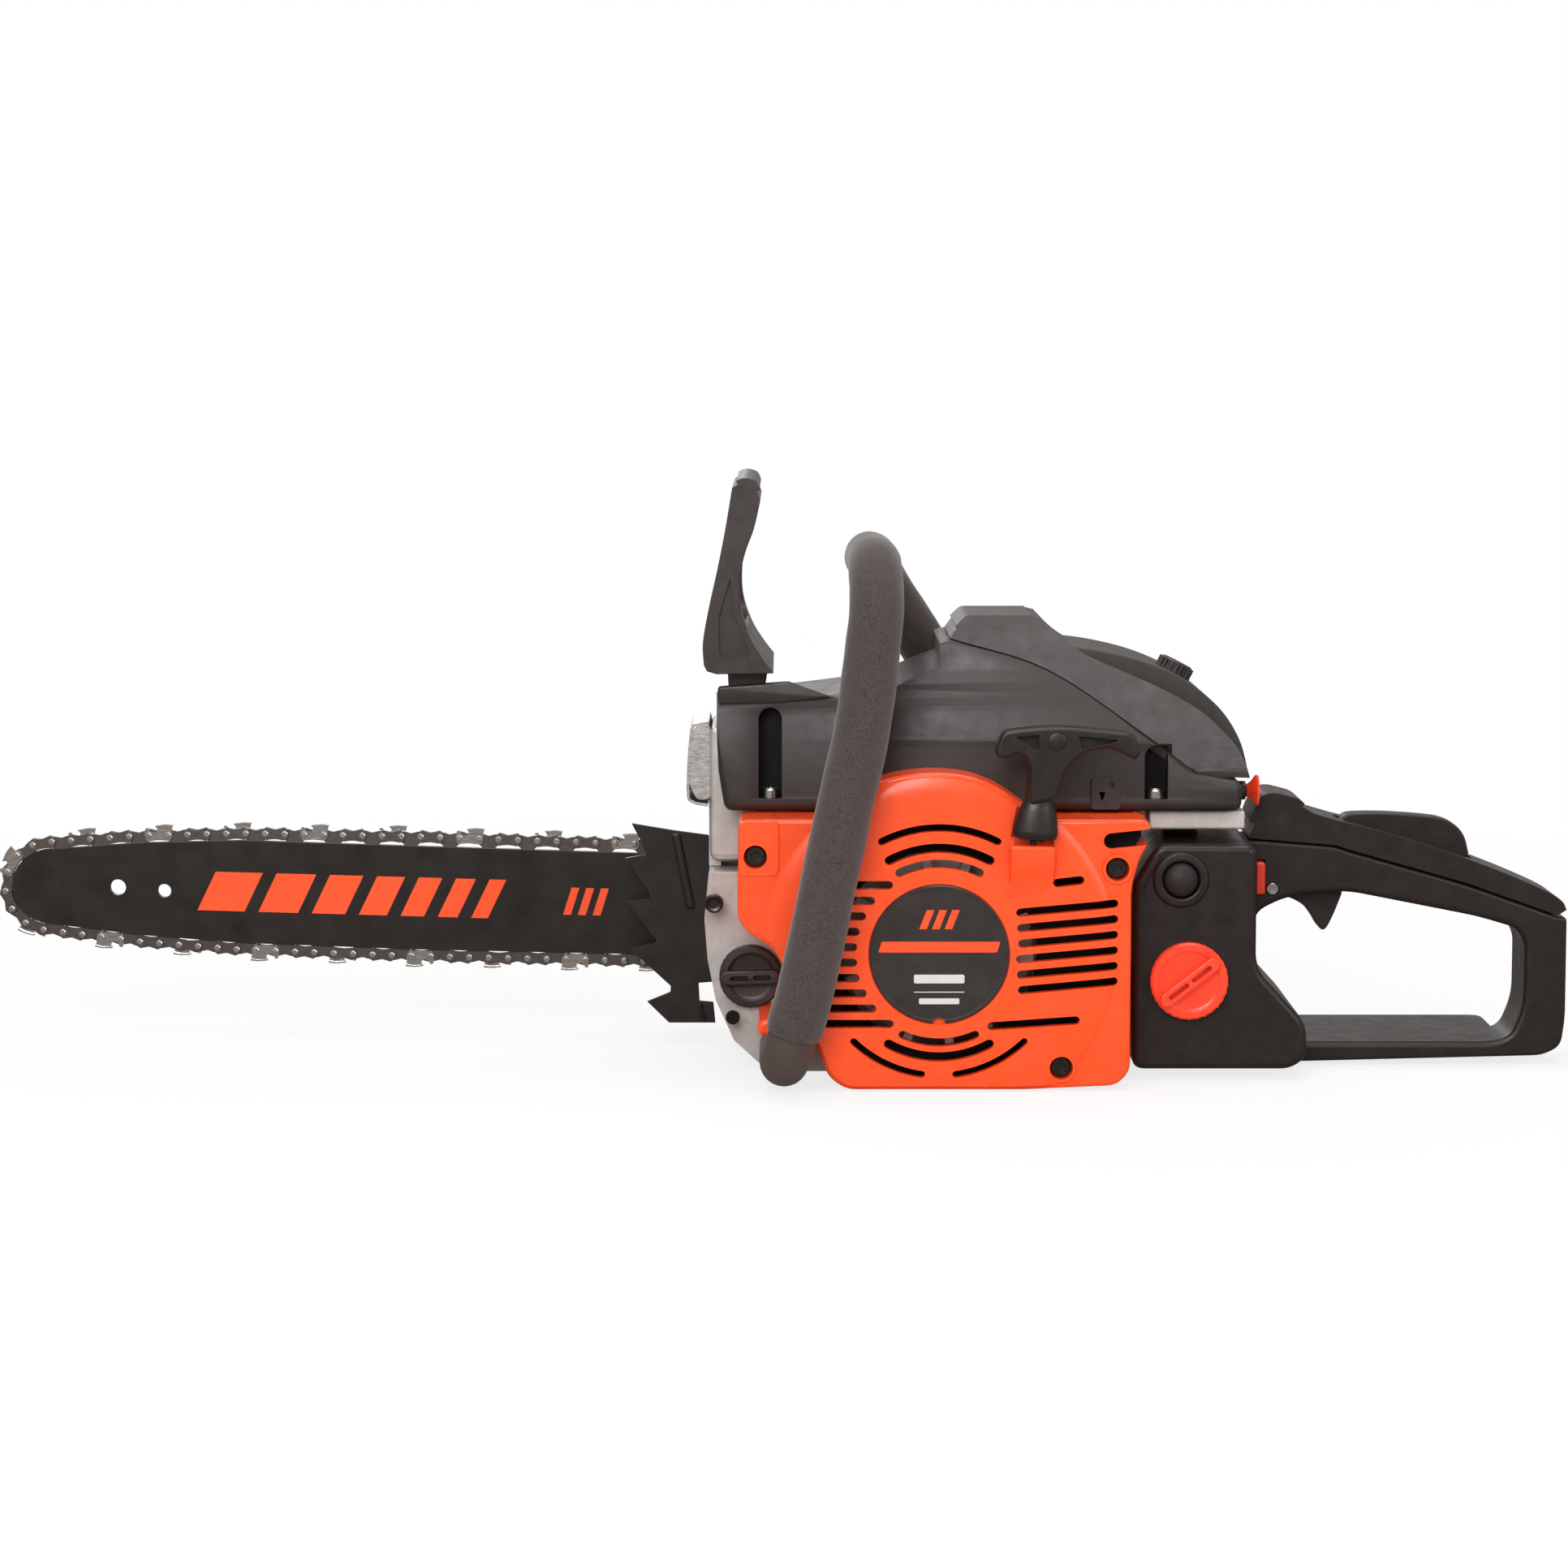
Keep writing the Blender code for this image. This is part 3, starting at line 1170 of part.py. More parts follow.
def make_rear_handle():
    """The fuel tank with the lower half of the rear handle and its foot plate."""
    tank = plate(
        "rear_handle",
        [
            [
                (94.6, 6.6), (171.0, 6.6), (179.0, 14.0), (178.0, 29.0), (153.8, 55.0), (153.8, 116.0), (104.8, 116.4),
                (99.4, 108.0), (94.6, 98.0),
            ]
        ],
        TANK_LEFT_Y,
        TANK_RIGHT_Y,
    )
    rounded(tank, 6.0, 2)
    low = HANDLE_MID_Y - HANDLE_HALF
    high = HANDLE_MID_Y + HANDLE_HALF
    loop = [
        (150.0, 2.9), (181.0, 2.9), (300.6, 6.0), (309.0, 11.0), (311.5, 24.2), (311.3, 75.2), (306.5, 75.4),
        (261.0, 91.6), (202.7, 108.2), (197.0, 110.2), (159.6, 113.2), (150.0, 113.6),
    ]
    opening = [
        (151.6, 54.0), (175.0, 28.0), (177.0, 12.5), (275.0, 12.5), (284.0, 15.5), (290.8, 30.0), (290.8, 63.0),
        (286.8, 69.0), (267.3, 74.8), (203.3, 87.4), (180.0, 86.0), (165.0, 80.4), (151.6, 74.0),
    ]
    handle = plate("handle_loop", [loop, opening], low, high)
    rounded(handle, 4.0, 2)
    join(tank, handle, "MANIFOLD")
    foot = box("foot_plate", (176, 10, 4.0), (286, 70, 12.0))
    rounded(foot, 3.0, 2)
    join(tank, foot)
    cut(tank, box("trigger_room", (161.5, HANDLE_MID_Y - 7.0, 68), (206, HANDLE_MID_Y + 7.0, 125)))
    room = [(204.0, 93.0), (266.0, 81.5), (266.0, 110.0), (204.0, 130.0)]
    cut(tank, plate("lockout_room", [room], HANDLE_MID_Y - 7.0, HANDLE_MID_Y + 7.0))
    fuel_room = box("fuel_room", (100, TANK_LEFT_Y + 4, 12), (148, TANK_RIGHT_Y - 4, 84))
    cut(tank, fuel_room)
    neck = rod(
        "fuel_neck",
        (FUEL_CAP[0], TANK_LEFT_Y - 5, FUEL_CAP[1]),
        (FUEL_CAP[0], TANK_LEFT_Y + 8, FUEL_CAP[1]),
        12.0,
    )
    cut(tank, neck)
    pin_start = (TRIGGER_PIN[0], low - 5, TRIGGER_PIN[1])
    pin_end = (TRIGGER_PIN[0], high + 5, TRIGGER_PIN[1])
    cut(tank, rod("trigger_pin_hole", pin_start, pin_end, 2.9 + GAP, steps=12))
    cut(tank, box("switch_pocket", (156.9, low - 5, 86.0), (162.4, low + 7, 103.6)))
    cut(tank, rod("primer_seat", (PRIMER[0], TANK_LEFT_Y - 5, PRIMER[1]), (PRIMER[0], TANK_LEFT_Y + 7, PRIMER[1]), 10.6, steps=20))
    finished(tank, "black_plastic")

    cover = plate(
        "grip_cover",
        [
            [
                (154.2, 113.9), (159.6, 113.5), (197.0, 110.5), (202.7, 108.5), (261.1, 91.9), (306.6, 75.7),
                (311.3, 75.5), (309.0, 82.0), (300.9, 87.7), (261.9, 103.8), (218.7, 117.5), (183.5, 127.1),
                (180.6, 133.1), (167.0, 137.0), (161.0, 136.0), (156.0, 127.0), (154.2, 120.0),
            ]
        ],
        low,
        high,
    )
    rounded(cover, 4.0, 2, 55)
    cut(cover, box("lockout_slot", (198.5, HANDLE_MID_Y - 7.0, 80), (266.5, HANDLE_MID_Y + 7.0, 140)))
    cut(cover, box("trigger_space", (161.5, HANDLE_MID_Y - 7.0, 100), (199, HANDLE_MID_Y + 7.0, 120)))
    hole_start = (LOCKOUT_PIVOT[0], HANDLE_MID_Y - 10, LOCKOUT_PIVOT[1])
    hole_end = (LOCKOUT_PIVOT[0], HANDLE_MID_Y + 10, LOCKOUT_PIVOT[1])
    join(cover, rod("lockout_pin", hole_start, hole_end, 2.0, steps=12))
    finished(cover, "black_plastic")


PRIMER = (117.2, 99.3)


def make_controls():
    """Trigger, lockout, pin, stop switch, choke knob and primer."""
    x, z = TRIGGER_PIN
    trigger_outline = [
        (162.3, 90.0), (163.8, 85.4), (168.5, 83.2), (180.0, 79.5), (188.0, 70.5), (192.5, 65.5), (196.8, 67.8),
        (201.0, 76.0), (203.2, 85.0), (202.6, 92.0), (192.0, 97.0), (172.0, 96.0), (164.5, 93.5),
    ]
    trigger = plate("throttle_trigger", [trigger_outline], HANDLE_MID_Y - 6.4, HANDLE_MID_Y + 6.4)
    cut(trigger, rod("trigger_bore", (x, -20, z), (x, 20, z), 2.9 + GAP, steps=12))
    finished(trigger, "black_plastic", (x, 0, z))
    pin = rod(
        "trigger_pin",
        (x, HANDLE_MID_Y - HANDLE_HALF + 0.2, z),
        (x, HANDLE_MID_Y + HANDLE_HALF - 0.2, z),
        2.9,
        steps=12,
    )
    finished(pin, "bright_steel")
    x, z = LOCKOUT_PIVOT
    lever = [
        (200.2, 113.0), (201.0, 121.5), (205.0, 123.6), (235.0, 124.2), (249.0, 122.2), (258.0, 115.5), (264.6, 105.0),
        (262.5, 101.0), (240.0, 106.0), (212.0, 108.0), (205.0, 106.6), (201.0, 108.5),
    ]
    lockout = plate("throttle_lockout", [lever], HANDLE_MID_Y - 6.4, HANDLE_MID_Y + 6.4)
    cut(lockout, rod("lockout_bore", (x, -20, z), (x, 20, z), 2.0 + GAP, steps=12))
    finished(lockout, "black_plastic", (x, 0, z))
    low = HANDLE_MID_Y - HANDLE_HALF
    switch = box("stop_switch", (157.3, low - 5.0, 86.8), (162.0, low + 4.5, 102.8))
    rounded(switch, 1.0)
    finished(switch, "red_plastic", (159.6, low + 2, 94.8))
    knob = turned(
        "choke_knob",
        [(0, -CHOKE_TRAVEL), (3.0, -CHOKE_TRAVEL), (3.0, 8.5), (7.8, 8.5), (7.8, 14.0), (6.5, 15.5), (0, 15.5)],
        (142.0, CHOKE_Y, CHOKE_Z),
        (1, 0, 0),
        20,
    )
    finished(knob, "red_plastic", (142.0, CHOKE_Y, CHOKE_Z))
    ring = turned(
        "primer_ring",
        [(8.6, -2.0), (12.4, -2.0), (13.6, -0.8), (13.6, -GAP + 0.0), (10.2, -GAP), (10.2, 2.6), (8.6, 2.6)],
        (PRIMER[0], TANK_LEFT_Y, PRIMER[1]),
        (0, 1, 0),
    )
    finished(ring, "black_plastic")
    bulb = turned(
        "primer_bulb",
        [(0, -5.6), (4.0, -5.0), (7.0, -3.0), (8.2, 0.0), (8.2, 2.4), (0, 2.4)],
        (PRIMER[0], TANK_LEFT_Y, PRIMER[1]),
        (0, 1, 0),
        20,
    )
    finished(bulb, "clear_bulb")


CHOKE_Y = -25.0
CHOKE_Z = 138.8
CHOKE_TRAVEL = 12.0
BRACKET_LOW = 122.0
BRACKET_TOP = 131.4
CARB_Z = 141.0


def make_caps():
    """Fuel and oil caps, each with a finger bar and a stem in its neck."""
    for name, place, radius, neck, face, turn, material in (
        ("fuel_cap", FUEL_CAP, FUEL_CAP_RADIUS, 11.7, TANK_LEFT_Y, 38.0, "orange_plastic"),
        ("oil_cap", OIL_CAP, OIL_CAP_RADIUS, 7.7, CASE_LEFT_Y, 0.0, "black_plastic"),
    ):
        cap = turned(
            name,
            [(0, -5.0), (radius - 1.5, -5.0), (radius, -3.5), (radius, -GAP), (neck, -GAP), (neck, 6.0), (0, 6.0)],
            (place[0], face, place[1]),
            (0, 1, 0),
        )
        reach = radius * 0.8
        bar = box(name + "_bar", (-reach, -8.0, -3.0), (reach, -4.0, 3.0))
        turn_matrix = Matrix.Rotation(math.radians(-turn), 4, "Y")
        move = Matrix.Translation(Vector((place[0], face, place[1])) * MM)
        bar.data.transform(move @ turn_matrix)
        join(cap, bar)
        finished(cap, material, (place[0], face, place[1]))


def make_mounts():
    """The two rubber mounts between the engine and the handle frame."""
    lower = rod("av_mount_lower", (CASE_REAR_X + GAP, 0, 40), (94.6 - GAP, 0, 40), 9.0, steps=16)
    finished(lower, "foam_rubber")
    upper = rod("av_mount_upper", (122, 0, 116.4 + GAP), (122, 0, BRACKET_LOW - GAP), 9.0, steps=16)
    finished(upper, "foam_rubber")


def main():
    """Build every part."""
    make_crankcase()
    make_cylinder()
    make_piston_group()
    make_crankshaft()
    make_drum()
    make_ignition()
    make_muffler()
    make_fuel_system()
    make_rear_bracket()
    make_bar()
    make_chain()
    make_spike()
    make_clutch_cover()
    make_starter_cover()
    make_starter_works()
    make_cylinder_cover()
    make_filter_cover()
    make_hand_guard()
    make_front_handle()
    make_rear_handle()
    make_controls()
    make_caps()
    make_mounts()


main()
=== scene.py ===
"""Petrol chainsaw: finishes, chain links, covers, grips and caps built around the CAD frame."""

import json
import math

import bpy
from mathutils import Matrix, Vector

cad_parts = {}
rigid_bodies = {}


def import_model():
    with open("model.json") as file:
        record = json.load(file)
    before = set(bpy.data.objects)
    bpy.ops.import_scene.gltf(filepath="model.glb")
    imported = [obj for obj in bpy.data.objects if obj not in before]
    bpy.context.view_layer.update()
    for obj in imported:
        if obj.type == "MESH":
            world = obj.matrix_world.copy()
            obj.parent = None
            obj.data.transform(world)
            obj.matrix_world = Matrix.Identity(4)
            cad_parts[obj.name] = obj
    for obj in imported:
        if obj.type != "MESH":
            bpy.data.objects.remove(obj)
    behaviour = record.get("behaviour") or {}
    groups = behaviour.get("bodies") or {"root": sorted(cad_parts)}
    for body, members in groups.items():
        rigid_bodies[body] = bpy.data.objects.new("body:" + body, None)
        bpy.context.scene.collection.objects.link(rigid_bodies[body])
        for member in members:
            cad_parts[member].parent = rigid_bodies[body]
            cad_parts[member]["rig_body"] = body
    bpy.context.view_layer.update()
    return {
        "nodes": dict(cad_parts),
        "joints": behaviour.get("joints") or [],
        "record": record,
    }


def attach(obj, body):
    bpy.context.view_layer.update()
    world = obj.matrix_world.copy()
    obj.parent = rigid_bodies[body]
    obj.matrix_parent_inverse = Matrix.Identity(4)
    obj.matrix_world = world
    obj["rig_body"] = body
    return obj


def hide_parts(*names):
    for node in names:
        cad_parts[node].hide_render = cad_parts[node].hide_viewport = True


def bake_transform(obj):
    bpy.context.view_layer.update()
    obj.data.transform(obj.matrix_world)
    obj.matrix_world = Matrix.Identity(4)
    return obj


bl_info = {
    "name": "Chainsaw",
    "version": (1, 0, 0),
    "blender": (4, 5, 0),
    "location": "View3D > Sidebar > Chainsaw",
    "description": "Builds the finished look of a petrol chainsaw piece by piece",
    "category": "Object",
}

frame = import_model()
MM = 0.001
JOINT_PLACES = {
    joint["name"]: Vector(joint.get("pos_m", (0, 0, 0))) for joint in frame["joints"]
}
ACROSS = (0, 1, 0)
CRANK_Z = 67.4
ORIGIN = JOINT_PLACES["crank_spin"] - Vector((0, 0, CRANK_Z * MM))

BAR_PLANE = 55.0
BAR_TILT = math.radians(1.63)
BAR_TIP = 466.5
NOSE_RADIUS = 19.0
BAR_SIDES = ((62.0, 21.5), (85.0, 25.2), (146.0, 26.4), (259.0, 27.1), (350.0, 26.3), (402.0, 23.6))
COVER_FACE = -84.0
TANK_FACE = -58.0
FUEL_NECK = (121.3, 50.6)
OIL_NECK = (-89.8, 49.4)
PRIMER = (117.2, 99.3)
TRIGGER_PIN = (166.2, 89.0)
LOCKOUT_PIN = (205, 112)
GUARD_PIVOT = (-92.0, 183.0)
CHOKE_WAY = (-25.0, 138.8)
KNOB_TILT = math.radians(27)
CAMERA_AIM = (-73.7, 139.0)
CAMERA_DISTANCE = 2000
CAMERA_TILT = math.radians(6.5)
CAMERA_LENS = 92.98
LAMP_AIM = (0.05, 0, 0.14)
LAMPS = (
    ("lamp_key", (-0.45, -2.0, 1.15), 1.1, 30),
    ("lamp_fill", (1.6, -1.7, 0.9), 1.2, 10),
    ("lamp_top", (0.1, -0.2, 2.1), 1.6, 24),
    ("lamp_back", (-0.6, 2.0, 1.4), 1.4, 14),
)


def at(x, y, z):
    """A place in metres from millimetres off the crankshaft's centre line and the ground."""
    return ORIGIN + Vector((x, y, z)) * MM


def bar_point(distance, rise):
    """A point (x, z) at a distance along the guide bar's axis and a rise across it."""
    x = -distance * math.cos(BAR_TILT) + rise * math.sin(BAR_TILT)
    z = CRANK_Z + 0.4 + distance * math.sin(BAR_TILT) + rise * math.cos(BAR_TILT)
    return x, z


# ---------------------------------------------------------------- finishes


def fresh(nodes, kind, **inputs):
    """A new node with some inputs set; an underscore in a name stands for a space."""
    node = nodes.new(kind)
    for name, value in inputs.items():
        node.inputs[name.replace("_", " ")].default_value = value
    return node


def shade(colour, factor):
    return tuple(min(1.0, channel * factor) for channel in colour) + (1.0,)


class Finish:
    """A node material with small helpers for the patterns that the saw's surfaces share."""

    def __init__(self, name, colour, roughness, metallic=0.0, specular=0.5, coat=0.0):
        self.material = bpy.data.materials.new(name)
        self.material.use_nodes = True
        self.material.diffuse_color = tuple(colour) + (1.0,)
        self.nodes = self.material.node_tree.nodes
        self.links = self.material.node_tree.links
        self.shader = self.nodes["Principled BSDF"]
        self.colour = tuple(colour)
        self.shader.inputs["Base Color"].default_value = shade(colour, 1.0)
        self.shader.inputs["Roughness"].default_value = roughness
        self.shader.inputs["Metallic"].default_value = metallic
        self.shader.inputs["Specular IOR Level"].default_value = specular
        self.shader.inputs["Coat Weight"].default_value = coat
        self.shader.inputs["Coat Roughness"].default_value = 0.12
        self.coordinates = self.nodes.new("ShaderNodeTexCoord").outputs["Object"]
        self.normal = None

    def add(self, kind, **settings):
        node = self.nodes.new(kind)
        for key, value in settings.items():
            setattr(node, key, value)
        return node

    def stretched(self, scale):
        mapping = fresh(self.nodes, "ShaderNodeMapping", Scale=scale)
        self.links.new(self.coordinates, mapping.inputs["Vector"])
        return mapping.outputs["Vector"]

    def noise(self, scale, detail=3.0, stretch=None, roughness=0.55):
        values = {"Scale": scale, "Detail": detail, "Roughness": roughness}
        node = fresh(self.nodes, "ShaderNodeTexNoise", **values)
        source = self.stretched(stretch) if stretch else self.coordinates
        self.links.new(source, node.inputs["Vector"])
        return node.outputs["Fac"]

    def cells(self, scale, stretch=None):
        node = fresh(self.nodes, "ShaderNodeTexVoronoi", Scale=scale)
        source = self.stretched(stretch) if stretch else self.coordinates
        self.links.new(source, node.inputs["Vector"])
        return node.outputs["Distance"]

    def ramp(self, source, low, high, position_low=0.35, position_high=0.65):
        node = self.add("ShaderNodeValToRGB")
        node.color_ramp.elements[0].position = position_low
        node.color_ramp.elements[1].position = position_high
        node.color_ramp.elements[0].color = low
        node.color_ramp.elements[1].color = high
        self.links.new(source, node.inputs["Fac"])
        return node.outputs["Color"]

    def vary_colour(self, source, low, high):
        """Base colour between two factors of the plain colour, along a pattern."""
        colour = self.ramp(source, shade(self.colour, low), shade(self.colour, high), 0.3, 0.7)
        self.links.new(colour, self.shader.inputs["Base Color"])
        return colour

    def mark(self, base, source, tint, position_low, position_high):
        """A second colour laid over the first where a pattern is high."""
        mix = self.add("ShaderNodeMix", data_type="RGBA")
        factor = self.ramp(source, (0, 0, 0, 1), (1, 1, 1, 1), position_low, position_high)
        self.links.new(factor, mix.inputs["Factor"])
        self.links.new(base, mix.inputs["A"])
        mix.inputs["B"].default_value = tuple(tint) + (1.0,)
        self.links.new(mix.outputs["Result"], self.shader.inputs["Base Color"])
        return mix.outputs["Result"]

    def vary_roughness(self, source, low, high):
        limits = {"From_Min": 0.3, "From_Max": 0.7, "To_Min": low, "To_Max": high}
        node = fresh(self.nodes, "ShaderNodeMapRange", **limits)
        self.links.new(source, node.inputs["Value"])
        self.links.new(node.outputs["Result"], self.shader.inputs["Roughness"])

    def bump(self, source, strength, distance):
        node = fresh(self.nodes, "ShaderNodeBump", Strength=strength, Distance=distance)
        self.links.new(source, node.inputs["Height"])
        if self.normal:
            self.links.new(self.normal, node.inputs["Normal"])
        self.normal = node.outputs["Normal"]
        self.links.new(self.normal, self.shader.inputs["Normal"])


def gloss_finish(name, colour):
    """Glossy moulded plastic with a faint ripple and fine handling marks."""
    finish = Finish(name, colour, 0.26, specular=0.5, coat=0.12)
    finish.vary_colour(finish.noise(28, 2), 0.97, 1.03)
    finish.vary_roughness(finish.noise(90, 4), 0.22, 0.34)
    finish.bump(finish.noise(60, 2), 0.06, 0.0004)
    finish.bump(finish.noise(1500, 2), 0.05, 0.00006)
    return finish.material


def grain_finish(name, colour, roughness, grain, strength, specular=0.45):
    """Spark-textured moulded plastic, duller in the hollows of its grain."""
    finish = Finish(name, colour, roughness, specular=specular)
    base = finish.vary_colour(finish.noise(45, 4), 0.86, 1.14)
    finish.mark(base, finish.noise(700, 3, roughness=0.7), shade(colour, 1.9)[:3], 0.62, 0.8)
    finish.vary_roughness(finish.noise(120, 4), roughness - 0.06, roughness + 0.08)
    finish.bump(finish.noise(grain, 4, roughness=0.65), strength, 0.00012)
    return finish.material


def foam_finish(name, colour):
    """Closed-cell foam: small open pores over a soft uneven skin, the pore hollows painted darker
    as painted shade and the rims between them painted lighter as painted highlight.
    """
    finish = Finish(name, colour, 0.88, specular=0.25)
    finish.shader.inputs["Sheen Weight"].default_value = 0.25
    finish.shader.inputs["Sheen Roughness"].default_value = 0.5
    base = finish.vary_colour(finish.noise(160, 5), 0.82, 1.2)
    # painted shade and highlight: the same cells as the bump below, darker in the pore hollows and
    # lighter on the rims
    finish.mark(base, finish.cells(900), shade(colour, 1.5)[:3], 0.25, 0.62)
    finish.bump(finish.cells(900), 0.35, 0.0002)
    finish.bump(finish.noise(260, 4), 0.45, 0.0004)
    return finish.material


def cast_finish(name, colour):
    """Die-cast alloy: grainy, a little mottled, with darker pits."""
    finish = Finish(name, colour, 0.46, metallic=0.75)
    base = finish.vary_colour(finish.noise(60, 5), 0.84, 1.1)
    finish.mark(base, finish.noise(320, 4), shade(colour, 0.5)[:3], 0.62, 0.85)
    finish.vary_roughness(finish.noise(200, 3), 0.38, 0.58)
    finish.bump(finish.noise(1300, 4, roughness=0.7), 0.28, 0.0002)
    return finish.material


def brushed_finish(name, colour, roughness=0.3, stretch=(1, 1, 14)):
    """Machined or rolled steel with fine lines along one way."""
    finish = Finish(name, colour, roughness, metallic=1.0)
    finish.vary_colour(finish.noise(200, 4, stretch), 0.85, 1.1)
    finish.vary_roughness(finish.noise(300, 3, stretch), roughness - 0.08, roughness + 0.12)
    finish.bump(finish.noise(1100, 3, stretch), 0.12, 0.0001)
    return finish.material


def bar_finish(name, colour):
    """Black enamel on steel with long light scuffs along the bar and dull patches."""
    finish = Finish(name, colour, 0.34, metallic=0.2, specular=0.5)
    base = finish.vary_colour(finish.noise(22, 4, (1, 1, 3)), 0.8, 1.25)
    finish.mark(base, finish.noise(240, 6, (1, 1, 22)), shade(colour, 3.5)[:3], 0.66, 0.86)
    finish.vary_roughness(finish.noise(60, 5), 0.28, 0.45)
    finish.bump(finish.noise(900, 3, (1, 1, 8)), 0.08, 0.0001)
    return finish.material


def braid_finish(name, colour):
    """Braided rope: short crossing strands, painted darker in the grooves between them as painted
    shade and lighter on their crests as painted highlight.
    """
    finish = Finish(name, colour, 0.8, specular=0.2)
    wave = finish.add("ShaderNodeTexWave", wave_type="BANDS", bands_direction="DIAGONAL")
    wave.inputs["Scale"].default_value = 260
    finish.links.new(finish.coordinates, wave.inputs["Vector"])
    # painted shade and highlight: the same bands as the bump below, darker in the grooves and
    # lighter on the crests
    finish.vary_colour(wave.outputs["Fac"], 0.6, 1.5)
    finish.bump(wave.outputs["Fac"], 0.5, 0.0004)
    return finish.material


MATERIALS = {}


def make_materials(colours):
    MATERIALS.update(
        orange=gloss_finish("orange_gloss", colours.orange),
        red=gloss_finish("control_red", colours.red),
        cap=gloss_finish("cap_orange", (0.93, 0.052, 0.014)),
        cover=grain_finish("cover_black", colours.cover, 0.44, 2600, 0.16, 0.68),
        tank=grain_finish("tank_black", colours.tank, 0.36, 1900, 0.12),
        guard=grain_finish("guard_black", (0.026, 0.0175, 0.0145), 0.36, 1700, 0.08, 0.65),
        badge=grain_finish("badge_black", (0.030, 0.024, 0.022), 0.3, 900, 0.03, 0.5),
        # painted shade: a near-black, dull finish for the plates, channels and disc that stand for
        # the shade inside slots and recesses
        hole=grain_finish("painted_shade_black", (0.006, 0.005, 0.005), 0.7, 900, 0.1, 0.2),
        foam=foam_finish("handle_foam", colours.foam),
        tube=grain_finish("tube_grey", (0.075, 0.055, 0.048), 0.42, 1500, 0.05),
        rubber=grain_finish("soft_rubber", (0.018, 0.016, 0.015), 0.55, 800, 0.1, 0.35),
        cast=cast_finish("cast_alloy", (0.60, 0.565, 0.54)),
        plate=cast_finish("plate_alloy", (0.80, 0.73, 0.69)),
        shield=brushed_finish("shield_steel", (0.82, 0.80, 0.78), 0.3, (1, 1, 6)),
        steel=brushed_finish("bright_steel", (0.62, 0.60, 0.58), 0.24),
        chrome=brushed_finish("cutter_chrome", (0.78, 0.76, 0.74), 0.16),
        strap=brushed_finish("strap_steel", (0.16, 0.14, 0.13), 0.36),
        screw=brushed_finish("screw_black", (0.07, 0.06, 0.055), 0.32),
        bar=bar_finish("bar_enamel", (0.015, 0.0105, 0.008)),
        spike=grain_finish("spike_black", (0.012, 0.0085, 0.007), 0.4, 900, 0.1),
        stripe=gloss_finish("stripe_orange", (0.86, 0.078, 0.014)),
        pale=gloss_finish("print_grey", (0.62, 0.60, 0.58)),
        felt=foam_finish("filter_felt", (0.75, 0.72, 0.62)),
        rope=braid_finish("rope_black", (0.03, 0.028, 0.026)),
    )


# ---------------------------------------------------------------- modelling helpers


def deselect():
    for obj in bpy.context.selected_objects:
        obj.select_set(False)


def activate(obj, *others):
    deselect()
    for other in others:
        other.select_set(True)
    obj.select_set(True)
    bpy.context.view_layer.objects.active = obj


def settle(obj):
    """Puts the object's place into its mesh."""
    activate(obj)
    bpy.ops.object.transform_apply(location=True, rotation=True, scale=True)


def turn_to(direction):
    return Vector(direction).normalized().to_track_quat("Z", "Y").to_matrix().to_4x4()


def block(name, low, high):
    """A box between two corners in millimetres."""
    deselect()
    centre = [(a + b) / 2 for a, b in zip(low, high)]
    bpy.ops.mesh.primitive_cube_add(size=1, location=at(*centre))
    obj = bpy.context.active_object
    obj.name = name
    obj.scale = [(b - a) * MM for a, b in zip(low, high)]
    settle(obj)
    return obj


def drum(name, base, direction, radius, depth, steps=48, end_radius=None):
    """A round body from a base point along a direction."""
    deselect()
    bpy.ops.mesh.primitive_cone_add(
        vertices=steps,
        radius1=radius * MM,
        radius2=(radius if end_radius is None else end_radius) * MM,
        depth=depth * MM,
        location=(0, 0, depth * MM / 2),
    )
    obj = bpy.context.active_object
    obj.name = name
    settle(obj)
    obj.data.transform(Matrix.Translation(at(*base)) @ turn_to(direction))
    return obj


def lathe(name, profile, base, direction, steps=48):
    """A closed profile of (radius, height) spun about an axis."""
    deselect()
    bpy.ops.mesh.primitive_circle_add(vertices=len(profile), radius=MM)
    obj = bpy.context.active_object
    obj.name = name
    for vertex, (radius, height) in zip(obj.data.vertices, profile):
        vertex.co = Vector((radius * MM, 0, height * MM))
    bpy.ops.object.mode_set(mode="EDIT")
    bpy.ops.mesh.select_all(action="SELECT")
    bpy.ops.mesh.spin(steps=steps, angle=math.tau, center=(0, 0, 0), axis=(0, 0, 1))
    bpy.ops.mesh.select_all(action="SELECT")
    bpy.ops.mesh.remove_doubles(threshold=0.00001)
    bpy.ops.mesh.delete_loose(use_faces=False)
    bpy.ops.mesh.normals_make_consistent(inside=False)
    bpy.ops.object.mode_set(mode="OBJECT")
    obj.data.transform(Matrix.Translation(at(*base)) @ turn_to(direction))
    return obj


def thickened(obj, step):
    """A flat mesh given a thickness, with its faces turned outwards."""
    bpy.ops.object.mode_set(mode="EDIT")
    bpy.ops.mesh.select_all(action="SELECT")
    bpy.ops.mesh.extrude_region_move(TRANSFORM_OT_translate={"value": step})
    bpy.ops.mesh.select_all(action="SELECT")
    bpy.ops.mesh.normals_make_consistent(inside=False)
    bpy.ops.object.mode_set(mode="OBJECT")
    return obj


def panel(name, outline, low, high, axis="Y"):
    """A flat outline drawn across X and Z (or Y and Z, X and Y) and given a thickness."""
    deselect()
    bpy.ops.mesh.primitive_circle_add(vertices=len(outline), fill_type="NGON")
    obj = bpy.context.active_object
    obj.name = name
    places = {
        "Y": lambda a, b: at(a, low, b),
        "X": lambda a, b: at(low, a, b),
        "Z": lambda a, b: at(a, b, low),
    }[axis]
    for vertex, (a, b) in zip(obj.data.vertices, outline):
        vertex.co = places(a, b)
    step = {"Y": ACROSS, "X": (1, 0, 0), "Z": (0, 0, 1)}[axis]
    return thickened(obj, Vector(step) * (high - low) * MM)


